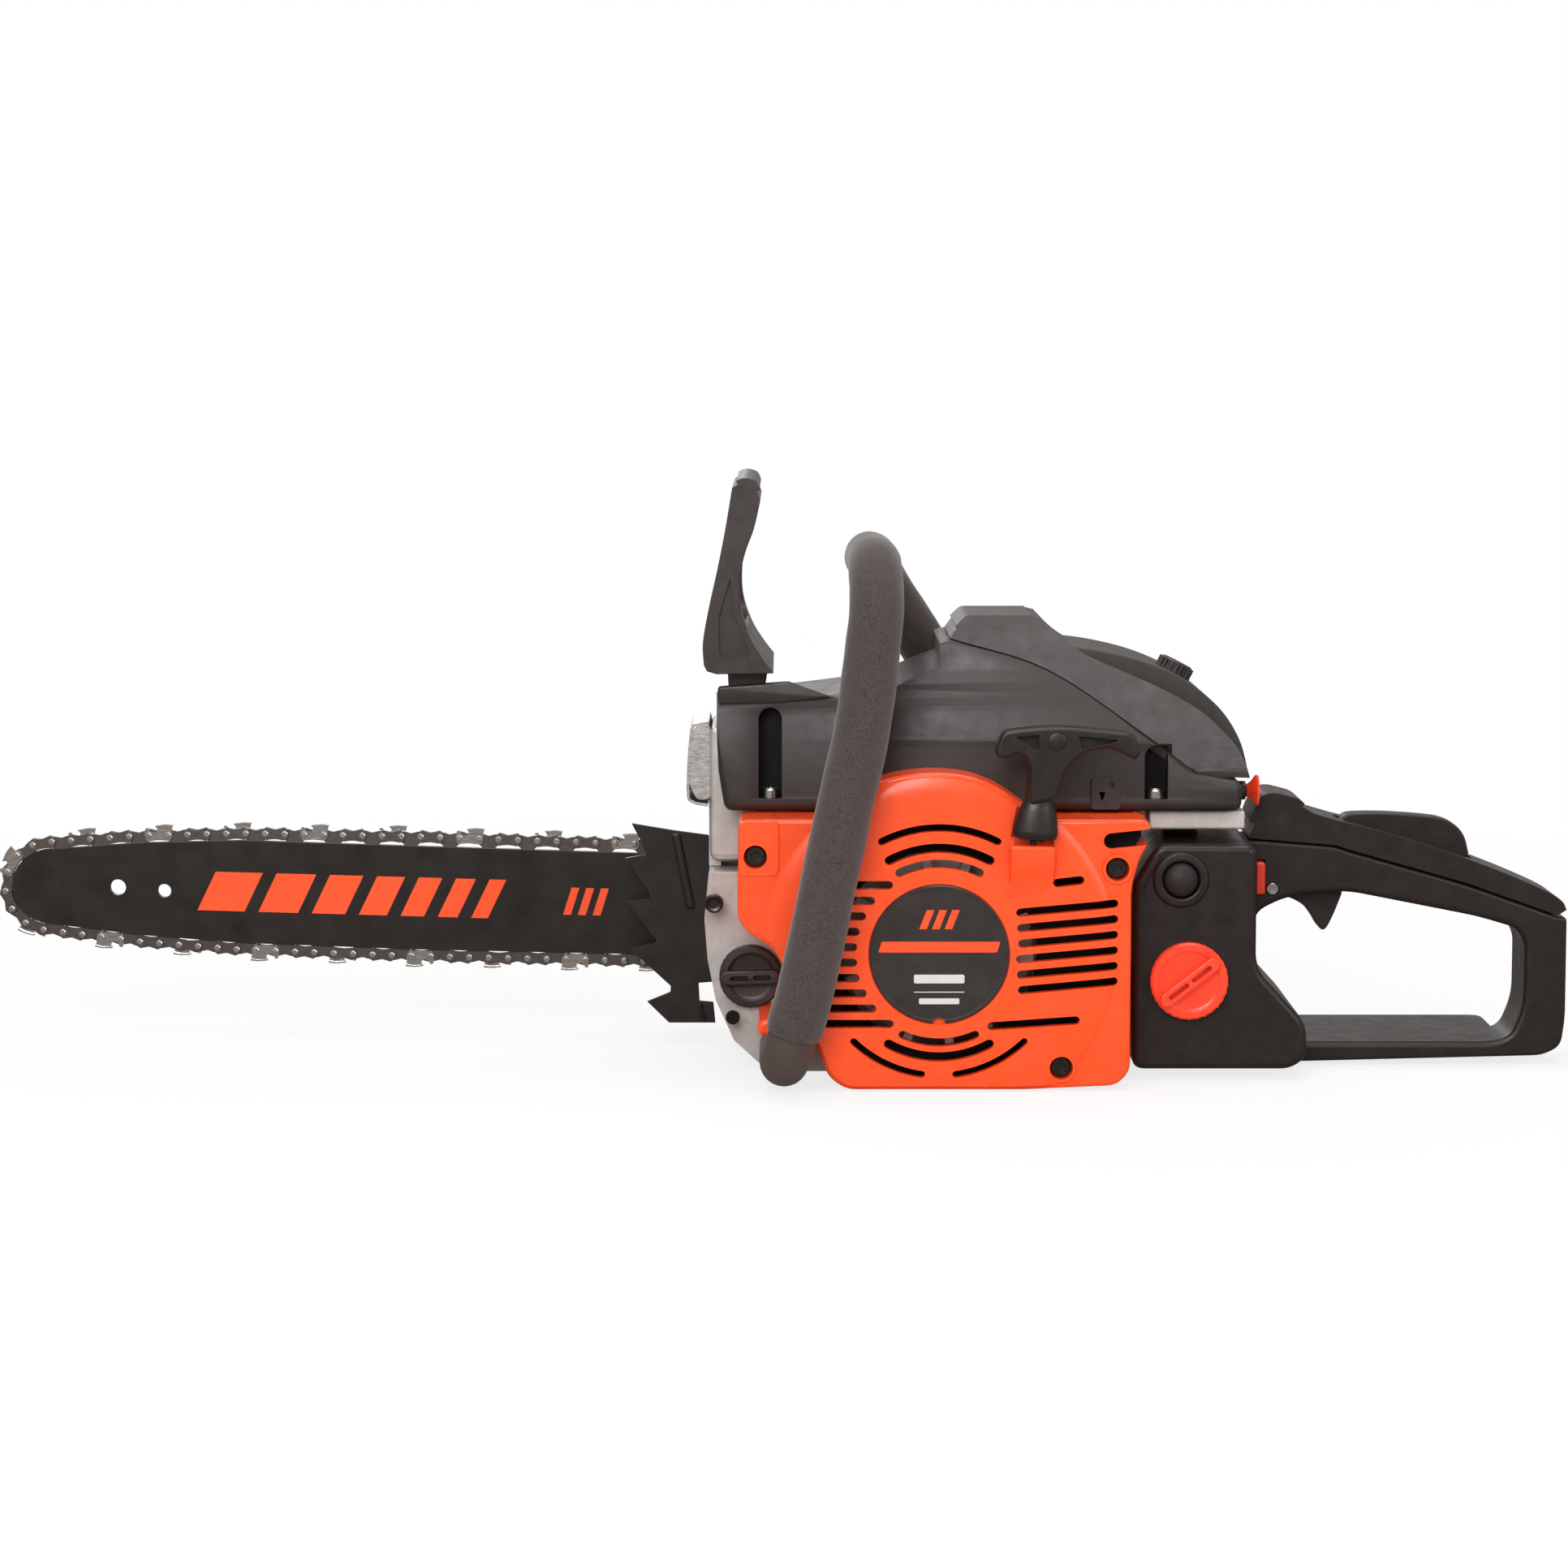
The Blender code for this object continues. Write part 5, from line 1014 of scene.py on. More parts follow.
class CHAINSAW_OT_starter_cover(bpy.types.Operator):
    """Starter cover with its fan crown, air slots, grip socket and screws"""

    bl_idname = "chainsaw.starter_cover"
    bl_label = "Starter cover"

    def execute(self, context):
        cover = panel("starter_cover_finished", filleted(COVER_OUTLINE, 5), COVER_FACE, -36.4)
        soften(cover, 3.0, 4, 50)
        dome = panel("dome", filleted(DOME_OUTLINE, 12, 6), COVER_FACE + 1.0, -58.4)
        soften(dome, 5.0, 5, 50)
        carve(cover, dome, "UNION")
        carve(cover, self.crown(), "UNION")
        pad = panel(
            "pad",
            filleted(
                [(-95.0, 104.5), (-78.0, 104.5), (-76.0, 107.0), (-76.0, 131.0), (-95.0, 131.0)], 3
            ),
            COVER_FACE - 1.0, COVER_FACE + 1,
        )
        soften(pad, 0.6, 2, 50)
        carve(cover, pad, "UNION")
        for place in SCREWS.values():
            boss = lathe(
                "boss", [(0, 0), (7.6, 0), (7.0, -1.4), (0, -1.4)],
                (place[0], COVER_FACE + 0.2, place[1]), ACROSS, 40,
            )
            carve(cover, boss, "UNION")
        carve(cover, panel("hollow", inset(COVER_OUTLINE, 2.6), COVER_FACE + 2.6, -20))
        carve(cover, panel("dome_hollow", inset(DOME_OUTLINE, 2.6), COVER_FACE + 3.6, -61))
        for place in SCREWS.values():
            carve(
                cover, drum("post", (place[0], COVER_FACE + 2.0, place[1]), ACROSS, 7, 44, 32),
                "UNION",
            )
            carve(cover, drum("well", (place[0], COVER_FACE - 8, place[1]), ACROSS, 5.6, 14.8, 40))
        self.socket(cover)
        carve(
            cover,
            drum("badge_seat", (0, -92, CRANK_Z), ACROSS, 33.7, 92 + COVER_FACE - CROWN + 1.4, 96),
        )
        carve(cover, self.slots())
        notch = rounded_bar((81.5, 121.4), (103.0, 123.6), 7.4, 10)
        carve(cover, panel("notch", notch, COVER_FACE - 8, -30))
        soften(cover, 0.35, 2, 48)
        fit(cover, "orange", "orange_plastic", "saw_body", "starter_cover")
        self.painted_shade_plate()
        for node, place in SCREWS.items():
            self.screw(node, place)
        return {"FINISHED"}

    def crown(self):
        """The raised round shroud over the fan, kept inside the cover's outline."""
        profile = [(0, 1), (85.5, 1), (84.4, -0.5), (81.0, -1.7), (76.0, -CROWN), (0, -CROWN)]
        crown = lathe("crown", profile, (0, COVER_FACE, CRANK_Z), ACROSS, 128)
        keep = panel(
            "keep", filleted(inset(COVER_OUTLINE, 2.2), 5), COVER_FACE - 10, COVER_FACE + 10
        )
        top = panel(
            "keep_top", filleted(inset(DOME_OUTLINE, 2.2), 12, 6), COVER_FACE - 10, COVER_FACE + 10
        )
        carve(keep, top, "UNION")
        carve(crown, keep, "INTERSECT")
        return crown

    def slots(self):
        low, high = COVER_FACE - 9, COVER_FACE + 9
        outlines = [
            arc_bar(CENTRE, 60.5, 3.6, 63, 117), arc_bar(CENTRE, 50.8, 4.4, 62, 118),
            arc_bar(CENTRE, 43.4, 4.0, 64, 116), arc_bar(CENTRE, 42.4, 4.0, 246, 294),
            arc_bar(CENTRE, 49.4, 4.6, 241, 299), arc_bar(CENTRE, 58.4, 3.4, 226, 262),
            arc_bar(CENTRE, 58.4, 3.4, 278, 314),
        ]
        for row in range(6):
            z = 91.4 - 7.45 * row
            outlines.append(rounded_bar((38.4 + 0.5 * (row % 3), z - 4.0), (83.0, z), 4.0))
        ends = ((-24.0, 101.5), (-32.5, 94.0), (-36.8, 86.6), (-39.8, 79.2), (-41.0, 71.8),
                (-41.0, 64.4), (-39.8, 57.0), (-36.4, 49.6), (-31.8, 42.3), (-23.5, 34.9))
        for row, (right, z) in enumerate(ends):
            outlines.append(
                rounded_bar((-68.0 + 1.6 * abs(row - 5) ** 1.2, z - 1.0), (right, z - 1.0), 4.0)
            )
        outlines.append(rounded_bar((25.0, 32.8), (65.0, 35.6), 4.0))
        outlines.append(rounded_bar((56.0, 101.6), (66.5, 102.8), 4.2))
        return gather("slots", [panel("slot", outline, low, high) for outline in outlines])

    def socket(self, cover):
        """The boss and well that the pull grip sits in."""
        x, y, z = GRIP
        slope = [
            (-95.8, 120.6), (COVER_FACE + 2, 120.6), (COVER_FACE + 2, 96.0), (-85.2, 99.0),
            (-91.0, 106.5), (-95.0, 113.0),
        ]
        boss = panel("socket", slope, x - 10.8, x + 10.8, "X")
        soften(boss, 3.6, 5, 60)
        carve(cover, boss, "UNION")
        carve(cover, block("mouth", (x - 8.2, y - 4.5, 116.2), (x + 8.2, y + 4.5, 124)))
        along = Vector((math.sin(GRIP_TILT), 0, math.cos(GRIP_TILT)))
        start = (x + 0.3 * along.x, y - 1.2, z - 1.0)
        carve(cover, drum("well", start, along, 11.6, 30, 48))

    def painted_shade_plate(self):
        """Dark plate and lining behind the crown's slots that keep the works from being seen
        through: painted shade, standing for the shade inside the cover.
        """
        plate = panel(
            "fan_painted_shade_plate", filleted([(-50, 118), (-40, 140), (-4, 150), (34, 140), (47, 118)], 10),
            -60.6, -60.0,
        )
        lining = panel("lining", inset(COVER_OUTLINE, 3.2), -70.4, -69.9)
        carve(lining, drum("fan_room", (0, -75, CRANK_Z), ACROSS, 47.5, 10, 64))
        carve(plate, lining, "UNION")
        # painted shade: the plate and lining are near-black to stand for the shade inside the cover
        fit(soften(plate, 0.15, 1), "hole", "black_plastic", "saw_body")

    def screw(self, node, place):
        head = lathe(
            node + "_finished",
            [(0, 3.6), (4.7, 3.6), (4.9, 0.8), (4.3, 0.0), (0, 0)],
            (place[0], -81.2, place[1]), ACROSS, 40,
        )
        star = []
        for index in range(12):
            reach = 2.7 if index % 2 else 2.05
            turn = math.radians(30 * index)
            star.append((place[0] + reach * math.cos(turn), place[1] + reach * math.sin(turn)))
        carve(head, panel("recess", filleted(star, 0.6, 2), -83, -79.0))
        soften(head, 0.25, 2)
        shank = drum("shank", (place[0], -77.7, place[1]), ACROSS, 2.4, 40, 24)
        fit(gather(node + "_finished", [head, shank]), "screw", "dark_steel", "saw_body", node)


class CHAINSAW_OT_badge(bpy.types.Operator):
    """Round dark badge with slanted marks, a bar and three plain lines"""

    bl_idname = "chainsaw.badge"
    bl_label = "Badge"

    def execute(self, context):
        face = COVER_FACE - CROWN
        profile = [
            (0, 1.0), (33.2, 1.0), (33.2, -0.3), (32.6, -0.9), (31.4, -0.9), (31.0, -0.6), (0, -0.6)
        ]
        disc = lathe("starter_badge_finished", profile, (0, face, CRANK_Z), ACROSS, 96)
        tab = panel("tab", ellipse((0, CRANK_Z - 33.6), (3.2, 3.2), 24), face - 3, face + 3)
        carve(disc, tab)
        smooth(disc)
        fit(disc, "badge", "badge_black", "saw_body", "starter_badge")
        near, far = face - 0.85, face - 0.4
        marks = [
            panel("mark", [(x, 79.6), (x + 3.6, 79.6), (x + 7.2, 88.8), (x + 3.6, 88.8)], near, far)
            for x in (-9.6, -3.6, 2.4)
        ]
        marks.append(
            panel(
                "mark", filleted([(-29.0, 68.4), (27.4, 68.4), (29.0, 73.6), (-27.4, 73.6)], 0.9),
                near, far,
            )
        )
        fit(gather("badge_marks", marks), "stripe", "badge_black", "saw_body")
        lines = [
            panel(
                "line", filleted([(-12, 53.6), (12, 53.6), (12, 57.8), (-12, 57.8)], 0.9), near, far
            ),
            panel("line", [(-12, 49.2), (12, 49.2), (12, 49.6), (-12, 49.6)], near, far),
            panel(
                "line", filleted([(-9.6, 43.6), (9.6, 43.6), (9.6, 46.4), (-9.6, 46.4)], 0.7), near,
                far,
            ),
        ]
        fit(gather("badge_lines", lines), "pale", "badge_black", "saw_body")
        return {"FINISHED"}


class CHAINSAW_OT_pull_grip(bpy.types.Operator):
    """T-shaped pull grip with its neck and collar"""

    bl_idname = "chainsaw.pull_grip"
    bl_label = "Pull grip"

    def execute(self, context):
        near, far = -98.0, -85.2
        outline = [
            (25.4, 163.0), (26.4, 168.5), (29.0, 174.8), (38.0, 176.0), (48.9, 176.9),
            (59.6, 176.9), (74.0, 175.6), (88.7, 174.1), (91.8, 171.6), (93.6, 163.8),
            (91.0, 161.0), (86.5, 163.6), (80.0, 167.0), (69.4, 165.6), (62.0, 160.4),
            (57.6, 154.0), (55.2, 143.0), (41.4, 140.0), (42.0, 154.0), (41.6, 160.0),
            (37.0, 165.0), (31.0, 161.6),
        ]
        grip = panel("starter_grip_finished", filleted(outline, 3, 4), near, far)
        soften(grip, 2.6, 4, 45)
        for recess in (
            [(35.0, 172.4), (46.0, 173.4), (46.0, 166.0)],
            [(64.5, 172.8), (83.5, 170.8), (80.0, 169.6), (66.0, 167.0)],
        ):
            carve(grip, panel("recess", filleted(recess, 0.8, 3), near - 2, near + 4.6))
        boss = lathe(
            "boss", [(0, 2), (4.4, 2), (4.2, -0.5), (3.4, -0.9), (0, -0.9)], (54.5, near, 170.0),
            ACROSS, 36,
        )
        carve(grip, boss, "UNION")
        along = Vector((math.sin(GRIP_TILT * 0.55), 0, math.cos(GRIP_TILT * 0.55)))
        profile = [
            (0, 0), (9.2, 0), (10.6, 1.2), (10.9, 4.0), (9.0, 13.6), (8.0, 15.4), (7.2, 17.5),
            (6.9, 36.0), (0, 36.0),
        ]
        neck = lathe("neck", profile, (0, 0, 0), along, 48)
        neck.data.transform(Matrix.Translation(at(44.4, (near + far) / 2, 123.4) - at(0, 0, 0)))
        squeeze = Matrix.Diagonal((1, (far - near) / 21.8, 1, 1))
        centre = at(0, (near + far) / 2, 0)
        neck.data.transform(Matrix.Translation(centre) @ squeeze @ Matrix.Translation(-centre))
        carve(grip, neck, "UNION")
        soften(grip, 0.4, 2, 42)
        fit(grip, "tank", "tank_plastic", "pull_grip", "starter_grip")
        self.rope()
        return {"FINISHED"}

    def rope(self):
        """The pull rope, held by the pulley below the cover's mouth and by the grip above it."""
        run = flowing(
            [
                (23.9, -74.4, 71.0), (34.0, -79.0, 92.0), (41.6, -87.0, 106.0),
                (43.7, -90.2, 113.0), (44.0, -90.4, 122.6),
            ],
            6,
        )
        rope = hose("starter_rope_finished", run, [1.5] * len(run), 5)
        smooth(rope, 60)
        rope.data.name = rope.name
        dress(rope, "rope")
        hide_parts("starter_rope")
        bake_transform(rope)


# ---------------------------------------------------------------- front handle


HANDLE_POINTS = (
    (-74.0, -36.4, 14.5), (-74.0, -60.0, 14.3), (-73.6, -86.0, 15.5), (-71.6, -99.0, 24.0),
    (-68.0, -104.0, 37.0), (-62.2, -104.6, 59.0), (-45.8, -104.6, 137.8), (-37.3, -104.4, 176.0),
    (-31.5, -103.6, 222.0), (-30.5, -98.5, 240.0), (-30.8, -84.0, 250.5), (-31.2, -60.0, 252.6),
    (-31.2, 0.0, 251.0), (-30.8, 36.0, 249.0), (-28.0, 55.0, 243.5), (-20.5, 65.0, 230.5),
    (-5.0, 66.5, 206.0), (14.0, 66.5, 175.0), (38.9, 63.5, 131.5),
)


def flowing(points, steps):
    """A smooth run through points, with even steps between neighbours."""
    rows = [Vector(point) for point in points]
    rows = [rows[0] * 2 - rows[1]] + rows + [rows[-1] * 2 - rows[-2]]
    result = []
    for a, b, c, d in zip(rows, rows[1:], rows[2:], rows[3:]):
        for step in range(steps):
            t = step / steps
            result.append(
                0.5 * (
                    2 * b + (c - a) * t + (
                        2 * a - 5 * b + 4 * c - d
                    ) * t**2 + (3 * b - a - 3 * c + d) * t**3
                )
            )
    return result + [rows[-2]]


def hose(name, path, radii, sides=10):
    """A round tube along a path, with a radius in millimetres at every point."""
    curve = bpy.data.curves.new(name, "CURVE")
    curve.dimensions = "3D"
    curve.bevel_depth = MM
    curve.bevel_resolution = sides
    curve.use_fill_caps = True
    spline = curve.splines.new("POLY")
    spline.points.add(len(path) - 1)
    for point, place, radius in zip(spline.points, path, radii):
        point.co = (*at(*place), 1)
        point.radius = radius
    obj = bpy.data.objects.new(name, curve)
    bpy.context.scene.collection.objects.link(obj)
    activate(obj)
    bpy.ops.object.convert(target="MESH")
    obj = bpy.context.active_object
    bpy.ops.object.mode_set(mode="EDIT")
    bpy.ops.mesh.select_all(action="SELECT")
    bpy.ops.mesh.remove_doubles(threshold=0.00001)
    bpy.ops.mesh.normals_make_consistent(inside=False)
    bpy.ops.object.mode_set(mode="OBJECT")
    return obj


class CHAINSAW_OT_front_handle(bpy.types.Operator):
    """Bent front handle and its foam grip"""

    bl_idname = "chainsaw.front_handle"
    bl_label = "Front handle"

    def execute(self, context):
        steps = 8
        path = flowing(HANDLE_POINTS, steps)
        start, end = steps * 3 + 6, steps * 16 + steps // 2
        radii = [11.6 if index < steps * 4 else 10.0 for index in range(len(path))]
        tube = smooth(hose("front_handle_tube", path, radii), 50)
        fit(tube, "tube", "grey_tube", "saw_body", "front_handle")
        run = path[start:end]
        foam_radii = []
        for index in range(len(run)):
            share = index / (len(run) - 1)
            ends = min(1.0, 0.96 + 0.02 * min(index, len(run) - 1 - index))
            foam_radii.append((13.7 - 1.3 * min(1.0, share * 1.6)) * ends)
        foam = hose("handle_foam_finished", run, foam_radii, 14)
        unevenness = bpy.data.textures.new("foam_unevenness", "CLOUDS")
        unevenness.noise_scale = 0.018
        bulge = foam.modifiers.new("unevenness", "DISPLACE")
        bulge.texture = unevenness
        bulge.texture_coords = "LOCAL"
        bulge.strength = 0.0009
        apply_modifiers(foam)
        smooth(foam, 60)
        fit(foam, "foam", "foam_grip", "saw_body", "handle_foam")
        return {"FINISHED"}


# ---------------------------------------------------------------- caps and controls


class CHAINSAW_OT_caps(bpy.types.Operator):
    """Fuel and oil caps, primer ring and bulb"""

    bl_idname = "chainsaw.caps"
    bl_label = "Caps and primer"

    def execute(self, context):
        self.cap("fuel_cap", FUEL_NECK, 18.6, TANK_FACE, 38, "cap", "orange_plastic", "fuel_lid")
        self.cap("oil_cap", OIL_NECK, 15.3, -36.0, 2, "cover", "black_plastic", "oil_lid")
        self.primer()
        return {"FINISHED"}

    def cap(self, node, place, radius, face, turn, finish, slot, body):
        base = (place[0], face, place[1])
        profile = [
            (0, -0.4), (radius, -0.4), (radius, -4.4), (radius - 0.9, -5.4), (radius - 3.6, -5.6),
            (radius - 4.2, -5.0), (radius - 5.6, -4.6), (0, -4.4),
        ]
        cap = lathe(node + "_finished", profile, base, ACROSS, 96)
        soften(cap, 0.3, 2, 45)
        ribs = []
        for index in range(30):
            angle = math.tau * index / 30
            rib = block("rib", (-0.5, -4.6, radius - 0.4), (0.5, -1.0, radius + 0.15))
            rib.data.transform(self.turned(base, angle))
            ribs.append(rib)
        reach = radius * 0.86
        bar = panel("bar", rounded_bar((-reach + 2, 0), (reach - 2, 0), 7.0), -9.4, -4.2)
        soften(bar, 0.9, 3, 40)
        for start, end in ((-reach + 3.4, -1.2), (1.2, reach - 3.4)):
            carve(bar, panel("slot", rounded_bar((start + 1, 0), (end - 1, 0), 2.3), -12, -4.9))
        bar.data.transform(self.turned(base, math.radians(-turn)))
        fit(gather(node + "_finished", [cap, bar, *ribs]), finish, slot, body, node)
        stem = drum(node + "_stem", (place[0], face - 0.3, place[1]), ACROSS, radius * 0.42, 6, 32)
        fit(soften(stem, 0.4, 2), finish, slot, body)

    def turned(self, base, angle):
        return Matrix.Translation(at(*base)) @ Matrix.Rotation(
            angle, 4, "Y"
        ) @ Matrix.Translation(-ORIGIN)

    def primer(self):
        base = (PRIMER[0], TANK_FACE, PRIMER[1])
        ring = lathe(
            "primer_ring_finished",
            [(8.9, 1.5), (13.6, 1.5), (13.6, -0.6), (12.6, -1.9), (9.8, -2.1), (8.9, -1.4)],
            base, ACROSS, 72,
        )
        fit(soften(ring, 0.4, 3, 35), "tank", "tank_plastic", "saw_body", "primer_ring")
        profile = [
            (0, 2.0), (8.2, 2.0), (8.2, -0.4), (7.7, -2.2), (6.4, -3.8), (4.4, -4.9), (2.2, -5.4),
            (0, -5.6),
        ]
        bulb = lathe("primer_bulb_finished", profile, base, ACROSS, 64)
        fit(smooth(bulb, 50), "rubber", "bulb_rubber", "primer", "primer_bulb")


class CHAINSAW_OT_knobs(bpy.types.Operator):
    """Filter cover knob, choke knob, stop switch, bar nuts, muffler shield and case bolt"""

    bl_idname = "chainsaw.knobs"
    bl_label = "Knobs and nuts"

    def execute(self, context):
        along = Vector((math.sin(KNOB_TILT), 0, math.cos(KNOB_TILT)))
        base = (JOINT_PLACES["filter_cover_knob_turn"] - ORIGIN) / MM
        profile = [
            (0, -6.0), (5.0, -6.0), (5.4, 0.6), (8.4, 1.0), (8.4, 8.6), (7.4, 9.6), (3.0, 9.6),
            (2.4, 9.0), (0, 9.0),
        ]
        knob = lathe("filter_cover_knob_finished", profile, base, along, 64)
        soften(knob, 0.3, 2, 40)
        ribs = []
        for index in range(24):
            rib = drum("rib", (0, 0, 0), (0, 0, 1), 0.75, 7.6, 8)
            turn = Matrix.Rotation(
                math.tau * index / 24, 4, "Z"
            ) @ Matrix.Translation((8.5 * MM, 0, 1.2 * MM))
            rib.data.transform(
                Matrix.Translation(at(*base)) @ turn_to(along) @ turn @ Matrix.Translation(-ORIGIN)
            )
            ribs.append(rib)
        fit(
            gather("filter_cover_knob_finished", [knob, *ribs]), "cover", "black_plastic",
            "cover_knob", "filter_cover_knob",
        )
        self.choke_knob()
        refine("stop_switch", "red", 0.6, 3)
        for node in ("bar_nut_front", "bar_nut_rear"):
            refine(node, "steel", 0.5, 2)
        refine("muffler_shield", "shield", 0.4, 2)
        self.shield_sides()
        self.case_bolt()
        return {"FINISHED"}

    def shield_sides(self):
        """The folded sides that close the muffler shield."""
        outline = filleted(
            [
                (-109.6, 134.0), (-116.4, 133.6), (-120.6, 143.0), (-119.4, 167.0), (-116.4, 171.0),
                (-109.6, 171.8),
            ],
            3,
        )
        sides = [soften(panel("side", outline, low, low + 1.2), 0.4, 2) for low in (-23.9, 27.7)]
        fit(gather("muffler_shield_sides", sides), "shield", "muffler_metal", "saw_body")

    def choke_knob(self):
        """Flared pull knob on its black stem."""
        base = (141.8, *CHOKE_WAY)
        flare = [
            (0, 9.0), (2.6, 9.0), (3.0, 10.0), (4.6, 12.2), (7.2, 14.0), (7.7, 14.8), (7.3, 15.7),
            (5.4, 15.5), (2.2, 14.6), (0, 14.4),
        ]
        knob = lathe("choke_knob_finished", flare, base, (1, 0, 0), 48)
        fit(smooth(knob, 50), "cap", "control_red", "choke_pull", "choke_knob")
        stem = lathe(
            "choke_stem",
            [(0, -10.0), (2.8, -10.0), (2.8, 3.8), (4.6, 4.2), (4.6, 9.2), (2.4, 10.2), (0, 10.2)],
            base, (1, 0, 0), 32,
        )
        fit(smooth(stem), "tank", "control_red", "choke_pull")

    def case_bolt(self):
        """Knurled socket-head bolt, and a thin near-black disc on the crankcase's front as painted
        shade standing for a small recess ring.
        """
        head = lathe(
            "case_bolt",
            [(0, 2.0), (2.1, 2.0), (2.3, 0.4), (3.6, 0), (4.5, 0.6), (4.5, 5.0), (0, 5.0)],
            (-107.6, -48.6, 86.2), ACROSS, 40,
        )
        fit(smooth(head), "screw", "dark_steel", "saw_body")
        # painted shade: a thin near-black disc stands for the shade in a recess; no recess is cut
        recess_shade_disc = drum("case_recess_painted_shade", (-98.6, -45.25, 30.0), ACROSS, 3.5, 0.6, 32)
        fit(smooth(recess_shade_disc), "hole", "cast_alloy", "saw_body")


# ---------------------------------------------------------------- covers over the engine


SEAM = ((6.3, 213.6), (53.1, 199.1), (100.0, 168.1), (123.4, 150.8), (145.8, 147.1))
COVER_BASE = 132.2
COVER_SIDES = (-58.0, 52.0)


def curved(points, steps=6):
    """An open run of outline points made smooth."""
    return [(p.x, p.y) for p in flowing([(a, b, 0) for a, b in points], steps)]


def ribbon(points, width):
    """The outline of a narrow strip along a run of points."""
    rows = [Vector(point) for point in points]
    left, right = [], []
    for index, row in enumerate(rows):
        ahead = rows[min(index + 1, len(rows) - 1)]
        behind = rows[max(index - 1, 0)]
        along = (ahead - behind).normalized()
        across = Vector((-along.y, along.x)) * width / 2
        left.append(tuple(row + across))
        right.append(tuple(row - across))
    return left + right[::-1]


def leaning(name, low, high, steepness, side, other):
    """A long body whose two sides stand upright at the foot and lean in towards the top."""
    heights = [low + (high - low) * step / 24 for step in range(25)]
    near = [(side + steepness * (z - low) ** 2, z) for z in heights]
    far = [(other - steepness * (z - low) ** 2, z) for z in heights]
    return panel(name, [(side, low - 20), *near, *far[::-1], (other, low - 20)], -130, 170, "X")


COVER_LEAN = 0.0021
BAND_LEAN = 0.0026


class CHAINSAW_OT_engine_covers(bpy.types.Operator):
    """Cylinder cover with its side slots and seam, and the domed air filter cover"""

    bl_idname = "chainsaw.engine_covers"
    bl_label = "Engine covers"

    def execute(self, context):
        self.cylinder_cover()
        self.slot_fittings()
        self.filter_cover()
        return {"FINISHED"}

    def cylinder_cover(self):
        left, right = COVER_SIDES
        crest = curved(
            [
                (4.0, 213.2), (-8.0, 209.0), (-17.0, 205.0), (-30.0, 200.8), (-43.0, 198.4),
                (-76.0, 194.4), (-104.0, 192.3),
            ],
            4,
        )
        front = [(-106.0, 189.0), (-106.0, 171.0), (-105.2, 152.0), (-102.1, COVER_BASE)]
        shoulder = curved(
            [(-76.0, 183.8), (-44.0, 187.2), (-22.0, 191.4), (-8.0, 199.0), (0.0, 208.0)], 6
        )
        seam = curved([(x, z) for x, z in SEAM[:-1]], 5)
        outline = front + [(146.0, COVER_BASE), (146.6, 146.6), (141.0, 147.4)] + seam[::-1] + crest
        cover = panel("cylinder_cover_finished", outline, left, right)
        soften(cover, 4.0, 5, 58)
        carve(cover, leaning("sides", 140.0, 222.0, COVER_LEAN, left, right), "INTERSECT")
        plate = panel(
            "plate", [(-105.4, 183.0), *shoulder, *crest[2:], (-105.4, 192.2)], left + 3.4,
            right - 3.4,
        )
        carve(cover, soften(plate, 2.6, 4, 50), "UNION")
        hollow = [
            (-99.5, COVER_BASE - 10), (143.6, COVER_BASE - 10), (143.6, 143.8), (122.3, 147.0),
            (98.3, 164.4), (51.8, 195.3), (3.6, 198.0), (-17.0, 190.4), (-43.0, 183.8),
            (-76.0, 180.0), (-102.5, 177.0), (-103.5, 171.0), (-102.7, 152.0),
        ]
        room = panel("room", hollow, left + 2.4, right - 2.4)
        carve(
            room, leaning("room_sides", 140.0, 222.0, COVER_LEAN, left + 2.6, right - 2.6),
            "INTERSECT",
        )
        carve(cover, room)
        carve(cover, self.above_crown(crest))
        carve(cover, block("filter_opening", (62, -43, 140), (136, 38, 215)))
        carve(cover, block("guard_notch", (-110, -49.5, 172.3), (-72, 49.5, 215)))
        carve(cover, block("muffler_window", (-115, -34, 120), (-95, 39, 173)))
        for x, low, high in ((-80.3, 138.6, 176.5), (104.8, 138.2, 158.5)):
            slot = panel(
                "side_slot",
                [(x - 5.6, low), (x + 5.6, low)] + ellipse((x, high), (5.6, 5.6), 16, 0, 180),
                left - 5, left + 10,
            )
            carve(cover, slot)
        carve(cover, drum("choke_way", (138, *CHOKE_WAY), (1, 0, 0), 3.4, 12, 32))
        soften(cover, 0.4, 2, 42, flat=False)
        fit(cover, "cover", "black_plastic", "saw_body", "cylinder_cover")

    def above_crown(self, crest):
        """A cutter over the front's top, arched across, with the near rim kept in front."""
        rows, columns = 36, 30
        deselect()
        bpy.ops.mesh.primitive_grid_add(x_subdivisions=rows, y_subdivisions=columns, size=1)
        sheet = bpy.context.active_object
        sheet.name = "above_crown"
        line = sorted(crest)
        for vertex in sheet.data.vertices:
            x = -61.0 + vertex.co.x * 124.0
            y = -3.0 + vertex.co.y * 124.0
            ahead = next((index for index, point in enumerate(line) if point[0] > x), len(line) - 1)
            (x0, z0), (x1, z1) = line[max(ahead - 1, 0)], line[ahead]
            share = min(1.0, max(0.0, (x - x0) / (x1 - x0))) if x1 > x0 else 0.0
            across = (y + 3.0) / 52.0
            kept = min(1.0, max(0.0, (-48.0 - x) / 24.0)) * min(1.0, max(0.0, -across * 8.0 - 6.6))
            height = z0 + (z1 - z0) * share - (6.6 + 5.6 * across**2) * (1.0 - kept)
            vertex.co = at(x, y, height)
        return thickened(sheet, (0, 0, 60 * MM))

